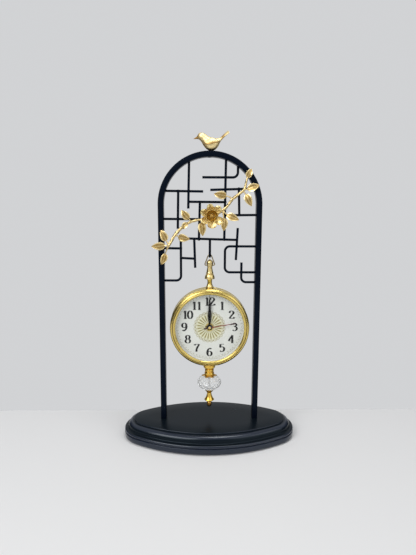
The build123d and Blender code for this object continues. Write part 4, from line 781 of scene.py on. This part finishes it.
# Bow and pendant: brass wire bent round the hook, and a turned knob, cap and stem below it
# that screw together on one stud and stand on the case.
HANG_Y = 1.25
turned_gold, flow = new_finish("lacquered_turned_brass")
where = object_place(flow)
cloud = flow.noise(where, 150.0)
drawn_out = flow.node("ShaderNodeMapping", {"Vector": where, "Scale": (40.0, 40.0, 5200.0)})
hair = flow.noise(drawn_out, 1.0, 2.0)
height = where.part("Z") * 1000.0
low_down = 1.0 - height.between(100.0, 190.0)
high_up = height.between(213.5, 216.0)
# The lowest end of the finial tip is painted dark brown as shade.
tip_shade = 1.0 - height.between(42.5, 45.0)
neck = height.between(198.5, 203.0) * (1.0 - height.between(207.4, 208.4))
light_brass = high_up.blend((0.86, 0.69, 0.33, 1), (0.72, 0.58, 0.28, 1))
dull_brass = high_up.blend((0.77, 0.59, 0.24, 1), (0.56, 0.43, 0.18, 1))
upper_brass = neck.blend(cloud.blend(light_brass, dull_brass), (0.64, 0.45, 0.09, 1))
amber_brass = cloud.blend((0.9, 0.6, 0.13, 1), (0.8, 0.5, 0.085, 1))
flow.surface(
    Base_Color=low_down.blend(upper_brass, tip_shade.blend(amber_brass, (0.3, 0.16, 0.04, 1))),
    Metallic=1.0,
    Roughness=0.28 + cloud * 0.1,
    Normal=flow.bump(hair, 0.05, 0.0002),
)
bow_wire = mottled_finish(
    "drawn_brass_wire", ((0.25, 0.19, 0.075, 1), (0.36, 0.28, 0.125, 1)),
    scale=1600.0, rough=0.3, spread=0.12, Metallic=1.0,
)
dress(bow_wire, "hanging_bow")


def pendant_piece(name, node, *parts):
    """Turned piece on the pendant's axis."""
    piece = turned(name, turned_gold, parts, (0.0, HANG_Y, 0.0), crease=50)
    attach(piece, "clock")
    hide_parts(node)


pendant_piece(
    "pendant_knob", "crown_knob",
    [(0.01, 214.6), (4.7, 214.6)],
    arc((4.55, 215.0), 0.4, -90, 90, 8),
    [(4.4, 215.6), (4.0, 216.9), (3.75, 218.3), (3.5, 219.7), (3.2, 221.2), (3.0, 222.0)],
    arc((2.95, 222.6), 0.45, -80, 80, 8),
    [(3.1, 223.3), (3.7, 224.6), (4.1, 226.0), (4.2, 227.4), (4.0, 228.8), (3.4, 230.2)],
    [(2.4, 231.2), (1.4, 231.7), (1.1, 231.9), (1.15, 232.2), (0.8, 232.5), (0.01, 232.5)],
)
pendant_piece(
    "pendant_dome_cap", "pendant_cap",
    [(0.01, 208.0), (6.0, 208.0)],
    arc((6.1, 208.4), 0.4, -90, 80, 8),
    [(6.2, 209.4), (6.05, 210.6), (5.7, 211.8), (5.1, 213.0), (4.5, 213.9), (4.1, 214.3)],
    [(4.0, 214.6), (0.01, 214.6)],
)
pendant_piece(
    "pendant_foot", "pendant_stem",
    [(0.01, 194.8), (4.7, 194.8), (4.9, 195.2), (4.9, 197.2)],
    arc((4.6, 197.6), 0.45, -60, 90, 7),
    [(4.2, 198.6), (3.6, 200.0), (3.1, 201.6), (2.85, 203.2), (2.8, 204.4), (2.95, 205.8)],
    [(3.2, 206.8)],
    arc((3.1, 207.5), 0.5, -80, 90, 7),
    [(0.01, 208.0)],
)

# Case and bezel: spun brass drum with a rolled front rim, and a bezel ring pressed in over
# the glass. A dark line shows where the two meet.
DIAL_CENTRE = np.array([0.0, -0.4, 145.9])
case_gold, flow = new_finish("polished_case_brass")
where = object_place(flow)
cloud = flow.noise(where, 45.0)
hair = flow.noise(where, 2400.0, 2.0)
flow.surface(
    Base_Color=cloud.blend((0.74, 0.58, 0.19, 1), (0.66, 0.5, 0.145, 1)),
    Metallic=1.0,
    Roughness=0.22 + cloud * 0.07,
    Normal=flow.bump(hair, 0.02, 0.0002),
)
case_parts = [
    [(46.98, 6.0), (46.98, 9.0)],
    arc((47.3, 9.45), 0.32, 180, 55, 8),
    [(48.1, 9.27), (48.65, 8.83), (49.15, 8.4), (49.5, 8.05), (49.7, 7.78), (49.6, 7.4)],
    arc((49.3, 6.2), 0.7, 70, -70, 8),
    [(49.5, 5.0), (49.75, 4.4), (49.75, -7.6), (49.5, -8.2)],
    arc((48.6, -9.6), 1.4, 60, -90, 14),
    [(47.02, -11.0), (47.02, -6.0), (46.98, 6.0)],
]
case = turned("case_drum", case_gold, case_parts, DIAL_CENTRE, 200, "y", ends=False, crease=50)
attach(case, "clock")
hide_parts("case_ring")
bezel_parts = [
    [(43.1, 8.05), (46.5, 8.05), (46.55, 8.7)],
    arc((45.5, 8.75), 1.05, 5, 90, 10),
    arc((45.2, 7.72), 2.08, 90, 171, 14),
    [(43.1, 8.05)],
]
bezel = turned("bezel_ring", case_gold, bezel_parts, DIAL_CENTRE, 200, "y", ends=False, crease=50)
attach(bezel, "clock")
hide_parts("bezel")
dress(case_gold, "centre_nut", "dial_washer")

# Dial: off-white printed metal disc with a lacework medallion in pale gold and a fine
# minute track. The numerals are printed black.
dial_print, flow = new_finish("printed_dial")
where = object_place(flow)
across = where.part("X") * 1000.0
upright = where.part("Z") * 1000.0 - float(DIAL_CENTRE[2])
radius = flow.math("SQRT", across * across + upright * upright)
angle = flow.math("ARCTAN2", across, upright)


def wave(count, shift=0.0):
    """Absolute cosine round the dial, with that many lobes."""
    return abs(flow.math("COSINE", angle * (count / 2.0) + shift))


def line(value, width):
    """1 on the line where a value is zero, in millimetres, fading over its width."""
    return 1.0 - abs(value).between(width * 0.45, width)


def largest(*values):
    """Largest of several masks."""
    found = values[0]
    for value in values[1:]:
        found = flow.math("MAXIMUM", found, value)
    return found


lobes = 1.2 * wave(24)
rays = (1.0 - wave(24).between(0.3, 0.9)) * (0.35 + radius.between(5.0, 10.0) * 0.65)
rays = rays * radius.between(3.8, 5.2) * (1.0 - radius.between(14.6 + lobes, 16.0 + lobes))
lace = largest(
    rays,
    line(radius - (16.6 + 1.6 * wave(24)), 0.6) * 0.7,
    line(radius - (18.6 + 1.4 * wave(24, 1.5708)), 0.6) * 0.6,
    line(radius - 4.2, 0.5),
)
dots = (1.0 - abs(radius - 18.2).between(0.4, 0.9)) * wave(48, 0.4).between(0.85, 0.97)
spread = 1.0 - radius.between(14.5, 21.5)
lacework = flow.math("MINIMUM", (lace + dots * 0.6) * (1.0 - radius.between(20.4, 21.4)), 1.0)
minute_dots = (1.0 - abs(radius - 40.4).between(0.22, 0.55)) * wave(60).between(0.86, 0.96)
outer_dots = (1.0 - abs(radius - 42.2).between(0.2, 0.5)) * wave(120).between(0.7, 0.92)
fleck = flow.noise(where, 1200.0)
off_white = fleck.blend((0.715, 0.722, 0.69, 1), (0.775, 0.78, 0.75, 1))
tinted = (spread * 0.9).blend(off_white, (0.73, 0.71, 0.5, 1))
lace_printed = lacework.blend(tinted, (0.29, 0.235, 0.05, 1))
tracked = (largest(minute_dots, outer_dots) * 0.85).blend(lace_printed, (0.3, 0.28, 0.15, 1))
flow.surface(
    Base_Color=tracked,
    Roughness=0.42 + fleck * 0.08 - lacework * 0.1,
    Normal=flow.bump(lacework, 0.15, 0.0002),
)
dress(dial_print, "dial")

# Numerals: printed with thick upright strokes and thin level ones. Each digit is drawn as a
# few pen strokes whose width follows their direction.
NUMERAL_HEIGHT = 10.8
NUMERAL_WIDTH = 12.2
NUMERAL_CIRCLE = 32.0
UPRIGHT_CIRCLE = 33.2
DIGIT_MIDDLE = 0.31
DIGIT_ADVANCE = 0.62
NARROW_ADVANCE = 0.5
PRINT_LEVEL = 0.83
PRINT_LAYER = 0.004


def loop(*hundredths):
    """Closed oval stroke: x and y of its middle, half width and half height."""
    x, y, across, up = np.array(hundredths) / 100
    turn = np.linspace(0, 2 * np.pi, 41)
    return np.stack([x + across * np.sin(turn), y + up * np.cos(turn)], axis=-1)


def pen(*hundredths):
    """Smooth stroke through points, given as x, y, x, y and so on."""
    return smooth_route(np.array(hundredths).reshape(-1, 2) / 100, 40)


PEN_DIGITS = {
    "0": [loop(31, 50, 23, 47)],
    "1": [pen(31, 3, 31, 50, 31, 97), pen(31, 97, 22, 86, 13, 83), pen(14, 2, 48, 2)],
    "2": [
        pen(11, 72, 16, 90, 33, 97, 50, 86, 50, 66, 33, 42, 10, 6),
        pen(8, 5, 30, 5, 56, 5), pen(56, 5, 57, 22),
    ],
    "3": [
        pen(12, 80, 28, 97, 47, 84, 45, 64, 26, 54), pen(26, 54, 50, 45, 52, 20, 32, 2, 10, 14),
    ],
    "4": [
        pen(43, 2, 43, 50, 43, 98), pen(43, 98, 24, 64, 4, 28),
        pen(4, 27, 32, 27, 58, 27), pen(28, 2, 56, 2),
    ],
    "5": [
        pen(16, 94, 34, 96, 52, 94), pen(16, 95, 14, 76, 13, 54),
        pen(13, 54, 32, 64, 53, 48, 50, 16, 30, 2, 10, 14),
    ],
    "6": [loop(32, 30, 22, 28), pen(50, 86, 36, 97, 16, 76, 9, 46, 12, 24)],
    "7": [
        pen(9, 80, 10, 95), pen(10, 95, 34, 95, 55, 95), pen(55, 95, 36, 58, 27, 30, 26, 2),
    ],
    "8": [loop(31, 74, 19, 23), loop(31, 26, 24, 25)],
    "9": [loop(30, 70, 22, 28), pen(12, 14, 26, 3, 46, 24, 53, 54, 50, 76)],
}
numeral_black = mottled_finish(
    "printed_numeral_black", ((0.004, 0.004, 0.005, 1), (0.018, 0.018, 0.018, 1)),
    scale=1800.0, rough=0.42, spread=0.15, Specular_IOR_Level=0.2,
)


def stroke_ribbon(stroke):
    """Edges of a pen stroke: point +- half width * normal, wider where it runs upright."""
    run = np.gradient(stroke, axis=0)
    run /= np.linalg.norm(run, axis=1, keepdims=True) + 1e-9
    half = 0.03 + 0.078 * np.abs(run[:, 1]) ** 1.5
    normal = np.stack([-run[:, 1], run[:, 0]], axis=-1) * half[:, None]
    return np.stack([stroke - normal, stroke + normal], axis=1) * (NUMERAL_WIDTH, NUMERAL_HEIGHT)


numeral_points = []
numeral_faces = []
for hour in range(1, 13):
    digits = str(hour)
    advance = NARROW_ADVANCE if "1" in digits else DIGIT_ADVANCE
    turn = np.radians(30.0 * hour)
    circle = UPRIGHT_CIRCLE if hour % 6 == 0 else NUMERAL_CIRCLE
    middle = circle * np.array([np.sin(turn), np.cos(turn)])
    for place, digit in enumerate(digits):
        shift = (place - (len(digits) - 1) / 2) * advance - DIGIT_MIDDLE
        corner = middle + (shift * NUMERAL_WIDTH, -0.5 * NUMERAL_HEIGHT)
        for layer, stroke in enumerate(PEN_DIGITS[digit]):
            ribbon = stroke_ribbon(stroke) + corner
            y = DIAL_CENTRE[1] - PRINT_LEVEL - PRINT_LAYER * layer
            points = xyz(ribbon[..., 0], y, ribbon[..., 1] + DIAL_CENTRE[2]).reshape(-1, 3)
            index = np.arange(len(points)).reshape(-1, 2) + sum(map(len, numeral_points))
            corners = [index[:-1, 0], index[1:, 0], index[1:, 1], index[:-1, 1]]
            numeral_points.append(points)
            numeral_faces += np.stack(corners, axis=-1).tolist()
numerals = add_mesh("dial_numerals", np.concatenate(numeral_points), numeral_faces, numeral_black)
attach(numerals, "clock")

# Hands: stamped and painted. The hour and minute hands are gloss black with a raised blade,
# the second hand is slim and dark red with darker ends, and a brass cap covers the middle.
hand_paint = mottled_finish(
    "gloss_black_hand_paint", ((0.001, 0.001, 0.001, 1), (0.004, 0.004, 0.004, 1)),
    scale=900.0, detail=2.0, rough=0.34, spread=0.12, Specular_IOR_Level=0.1,
)
dress(hand_paint, "hour_hand", "minute_hand")
red_paint, flow = new_finish("dark_red_hand_paint")
where = object_place(flow)
cloud = flow.noise(where, 900.0, 2.0)
across = where.part("X") * 1000.0
far_ends = abs(across - 11.8).between(12.5, 15.0)
hub = 1.0 - abs(across).between(2.6, 3.4)
flow.surface(
    Base_Color=flow.math("MAXIMUM", far_ends, hub).blend(
        cloud.blend((0.2, 0.012, 0.017, 1), (0.25, 0.018, 0.024, 1)), (0.04, 0.005, 0.008, 1)
    ),
    Roughness=0.3 + cloud * 0.15,
)


def hand_blade(name, finish, places, turn, level, thick):
    """Blade through places of (distance from the arbor, width), at degrees from 3 o'clock."""
    out, width = np.array(places).T
    direction = np.array([np.cos(np.radians(turn)), 0.0, np.sin(np.radians(turn))])
    middle = DIAL_CENTRE + level * toward_viewer
    grid = blade_skin(
        middle + out[0] * direction, middle + out[-1] * direction, toward_viewer, width.max(),
        lambda s: np.interp(out[0] + s * (out[-1] - out[0]), out, width) / width.max(),
        lambda s, t, front: 0.0 * t, thick, rows=120, columns=12,
    )[0]
    return skin(name, grid, finish, crease=60)


hour_places = [(3.5, 1.8), (7.0, 3.2), (12.0, 4.5), (17.0, 4.6), (22.0, 3.4), (27.0, 0.6)]
hour_blade = hand_blade(
    "hour_hand_blade", hand_paint, hour_places, turn=90.0, level=2.95, thick=0.6
)
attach(hour_blade, "hour")
minute_places = [
    (3.0, 1.8), (12.0, 2.8), (20.0, 3.4), (27.0, 3.0), (31.0, 2.1), (37.0, 1.3), (40.5, 0.7),
]
minute_blade = hand_blade(
    "minute_hand_blade", hand_paint, minute_places, turn=90.0, level=4.05, thick=0.6
)
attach(minute_blade, "minute")
second_places = [
    (-8.0, 0.5), (-7.2, 1.8), (-4.6, 2.2), (-2.6, 1.2),
    (0.0, 1.2), (26.6, 1.0), (27.6, 1.7), (32.4, 1.7), (33.9, 0.6),
]
second_blade = hand_blade(
    "second_hand_blade", red_paint, second_places, turn=10.0, level=5.15, thick=0.4
)
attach(second_blade, "second")
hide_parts("second_hand")
cap_parts = [
    [(0.01, 5.05), (1.5, 5.05)],
    arc((1.3, 5.55), 0.4, -40, 90, 8),
    [(0.9, 6.0)],
    arc((0.0, 5.35), 0.9, 50, 89, 6),
]
cap = turned("hand_cap", turned_gold, cap_parts, DIAL_CENTRE, turns=48, axis="y", crease=40)
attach(cap, "second")

# Glass: flat pane of clear glass that the bezel presses against a spacer ring. The ring is
# moulded of white plastic, and so are the wheels of the movement.
lens_glass, flow = new_finish("clear_lens_glass")
smear = flow.noise(object_place(flow), 25.0)
mirror = flow.node("ShaderNodeBsdfGlossy", {"Color": (1.0, 1.0, 1.0, 1.0), "Roughness": 0.04})
clear = flow.node("ShaderNodeBsdfTransparent", {"Color": (0.985, 0.99, 0.985, 1.0)})
facing = flow.node("ShaderNodeLayerWeight", {"Blend": 0.5}, out="Facing")
share = 0.006 + smear * 0.008 + flow.math("POWER", facing, 5.0) * 0.9
pane = flow.node("ShaderNodeMixShader", {0: share, 1: clear, 2: mirror})
flow.node("ShaderNodeOutputMaterial", {"Surface": pane})
dress(lens_glass, "lens")
white_moulding, flow = new_finish("white_moulded_plastic")
where = object_place(flow)
cloud = flow.noise(where, 300.0)
flow.surface(
    Base_Color=cloud.blend((0.7, 0.69, 0.66, 1), (0.8, 0.79, 0.76, 1)),
    Roughness=0.4 + cloud * 0.15,
    Normal=flow.bump(flow.noise(where, 2500.0), 0.05, 0.0002),
)
dress(
    white_moulding, "spacer_ring", "minute_wheel", "hour_wheel", "second_wheel", "third_wheel",
    "motion_wheel", "intermediate_wheel", "rotor",
)

# Finial: turned collar, leaf cup and tip of brass round a bead of cut glass, drawn together
# by a steel rod. The bead has rows of flat facets, each row turned by half a facet.
CRYSTAL_FACETS = 12
CRYSTAL_ROWS = np.array([
    # height, radius
    (61.32, 6.4), (64.6, 12.2), (68.4, 15.4), (71.6, 15.9), (75.2, 14.3), (78.2, 10.4), (79.88, 6.8)
])
CUP_PROFILE = np.array([
    # radius, height
    (0.01, 81.5), (5.5, 81.5), (6.2, 81.3), (8.0, 80.9), (9.8, 80.35),
    (10.1, 80.1), (9.6, 79.95), (7.5, 79.92), (0.01, 79.92),
])
pendant_piece(
    "finial_turned_collar", "finial_collar",
    [(0.01, 96.6), (7.4, 96.6), (7.6, 96.2), (7.6, 92.4)],
    [(7.4, 91.6), (6.9, 90.9), (6.2, 90.4), (6.0, 90.1), (4.5, 90.0), (4.5, 89.2)],
    [(5.5, 89.1), (5.8, 88.4), (5.8, 87.2), (5.5, 86.5), (4.6, 86.4), (4.6, 85.7)],
    [(5.6, 85.6), (5.9, 84.8), (6.2, 83.6), (6.2, 82.4), (5.9, 81.5), (0.01, 81.5)],
)
cup_out, cup_up = CUP_PROFILE[:, :1], CUP_PROFILE[:, 1:]
turn = full_turn(144)
scallop = np.abs(np.cos(3 * turn)) ** 1.4
petal_share = np.clip((cup_out - 6.0) / 4.0, 0, 1)
radius = cup_out * (1 - 0.4 * petal_share * (1 - scallop))
height = cup_up + 0.25 * petal_share * (scallop - 0.5)
cup_grid = xyz(radius * np.cos(turn), HANG_Y + radius * np.sin(turn), height)
# The leaf cup takes the darker gold with painted shade over all of it.
leaf_cup = skin("finial_leaf_cup", cup_grid, shaded_gold, relief=0.8, crease=50)
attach(leaf_cup, "clock")
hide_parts("finial_cup")
pendant_piece(
    "finial_turned_tip", "finial_tip",
    [(0.01, 61.3), (5.6, 61.3)],
    arc((5.6, 60.9), 0.4, 90, -60, 7),
    [(5.4, 60.0), (4.6, 58.6), (3.6, 57.6), (2.8, 56.9), (2.7, 56.5), (2.9, 56.0)],
    [(3.0, 54.8), (3.3, 53.2), (3.9, 51.2), (4.8, 49.2), (5.9, 47.6)],
    arc((6.0, 46.9), 0.4, 60, -80, 7),
    [(5.2, 45.9), (3.9, 44.8), (2.8, 44.2), (2.6, 44.0), (2.9, 43.6), (3.2, 42.9), (3.2, 39.9)],
    arc((0.0, 39.9), 3.2, 0, -89.8, 12),
)
cut_crystal = mottled_finish(
    "cut_crystal", ((0.93, 0.932, 0.925, 1), (0.88, 0.89, 0.89, 1)),
    scale=90.0, detail=2.0, rough=0.02, spread=0.03, Transmission_Weight=0.74, IOR=1.28,
)
height, radius = CRYSTAL_ROWS[:, :1], CRYSTAL_ROWS[:, 1:]
row_turn = (np.arange(len(CRYSTAL_ROWS)) % 2 * np.pi / CRYSTAL_FACETS)[:, None]
turn = full_turn(CRYSTAL_FACETS) + row_turn
crystal_grid = xyz(radius * np.cos(turn), HANG_Y + radius * np.sin(turn), height)
crystal = skin("cut_crystal_bead", crystal_grid, cut_crystal, crease=1)
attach(crystal, "clock")
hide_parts("crystal_bead")

# Back of the clock: matt black moulded cover and movement housing with a set knob, and one
# cell in its bay between two contacts. A board and a copper coil lie inside the housing.
black_moulding = mottled_finish(
    "black_moulded_plastic", ((0.014, 0.014, 0.015, 1), (0.028, 0.028, 0.029, 1)),
    scale=80.0, rough=0.48, spread=0.2, dents=(0.25, 0.0003), grain=(3000.0, 2.0),
)
dress(black_moulding, "rear_cover", "movement_housing", "movement_lid", "set_knob")
cell_jacket, flow = new_finish("printed_cell_jacket")
where = object_place(flow)
cloud = flow.noise(where, 200.0)
copper_end = (where.part("X") * 1000.0).between(10.8, 11.2)
flow.surface(
    Base_Color=copper_end.blend(
        cloud.blend((0.02, 0.02, 0.022, 1), (0.036, 0.036, 0.04, 1)), (0.56, 0.3, 0.11, 1)
    ),
    Metallic=0.3 + copper_end * 0.6,
    Roughness=0.28 + cloud * 0.12,
)
dress(cell_jacket, "cell")
board_lacquer = mottled_finish(
    "green_board_lacquer", ((0.012, 0.08, 0.035, 1), (0.03, 0.14, 0.06, 1)),
    scale=1400.0, detail=2.0, rough=0.35, spread=0.15,
)
dress(board_lacquer, "circuit_board")
coil_wire, flow = new_finish("copper_coil_wire")
turns = abs(flow.math("SINE", object_place(flow).part("X") * 31000.0))
flow.surface(
    Base_Color=turns.blend((0.3, 0.11, 0.04, 1), (0.72, 0.33, 0.14, 1)),
    Metallic=1.0,
    Roughness=0.3 + turns * 0.1,
)
dress(coil_wire, "coil")
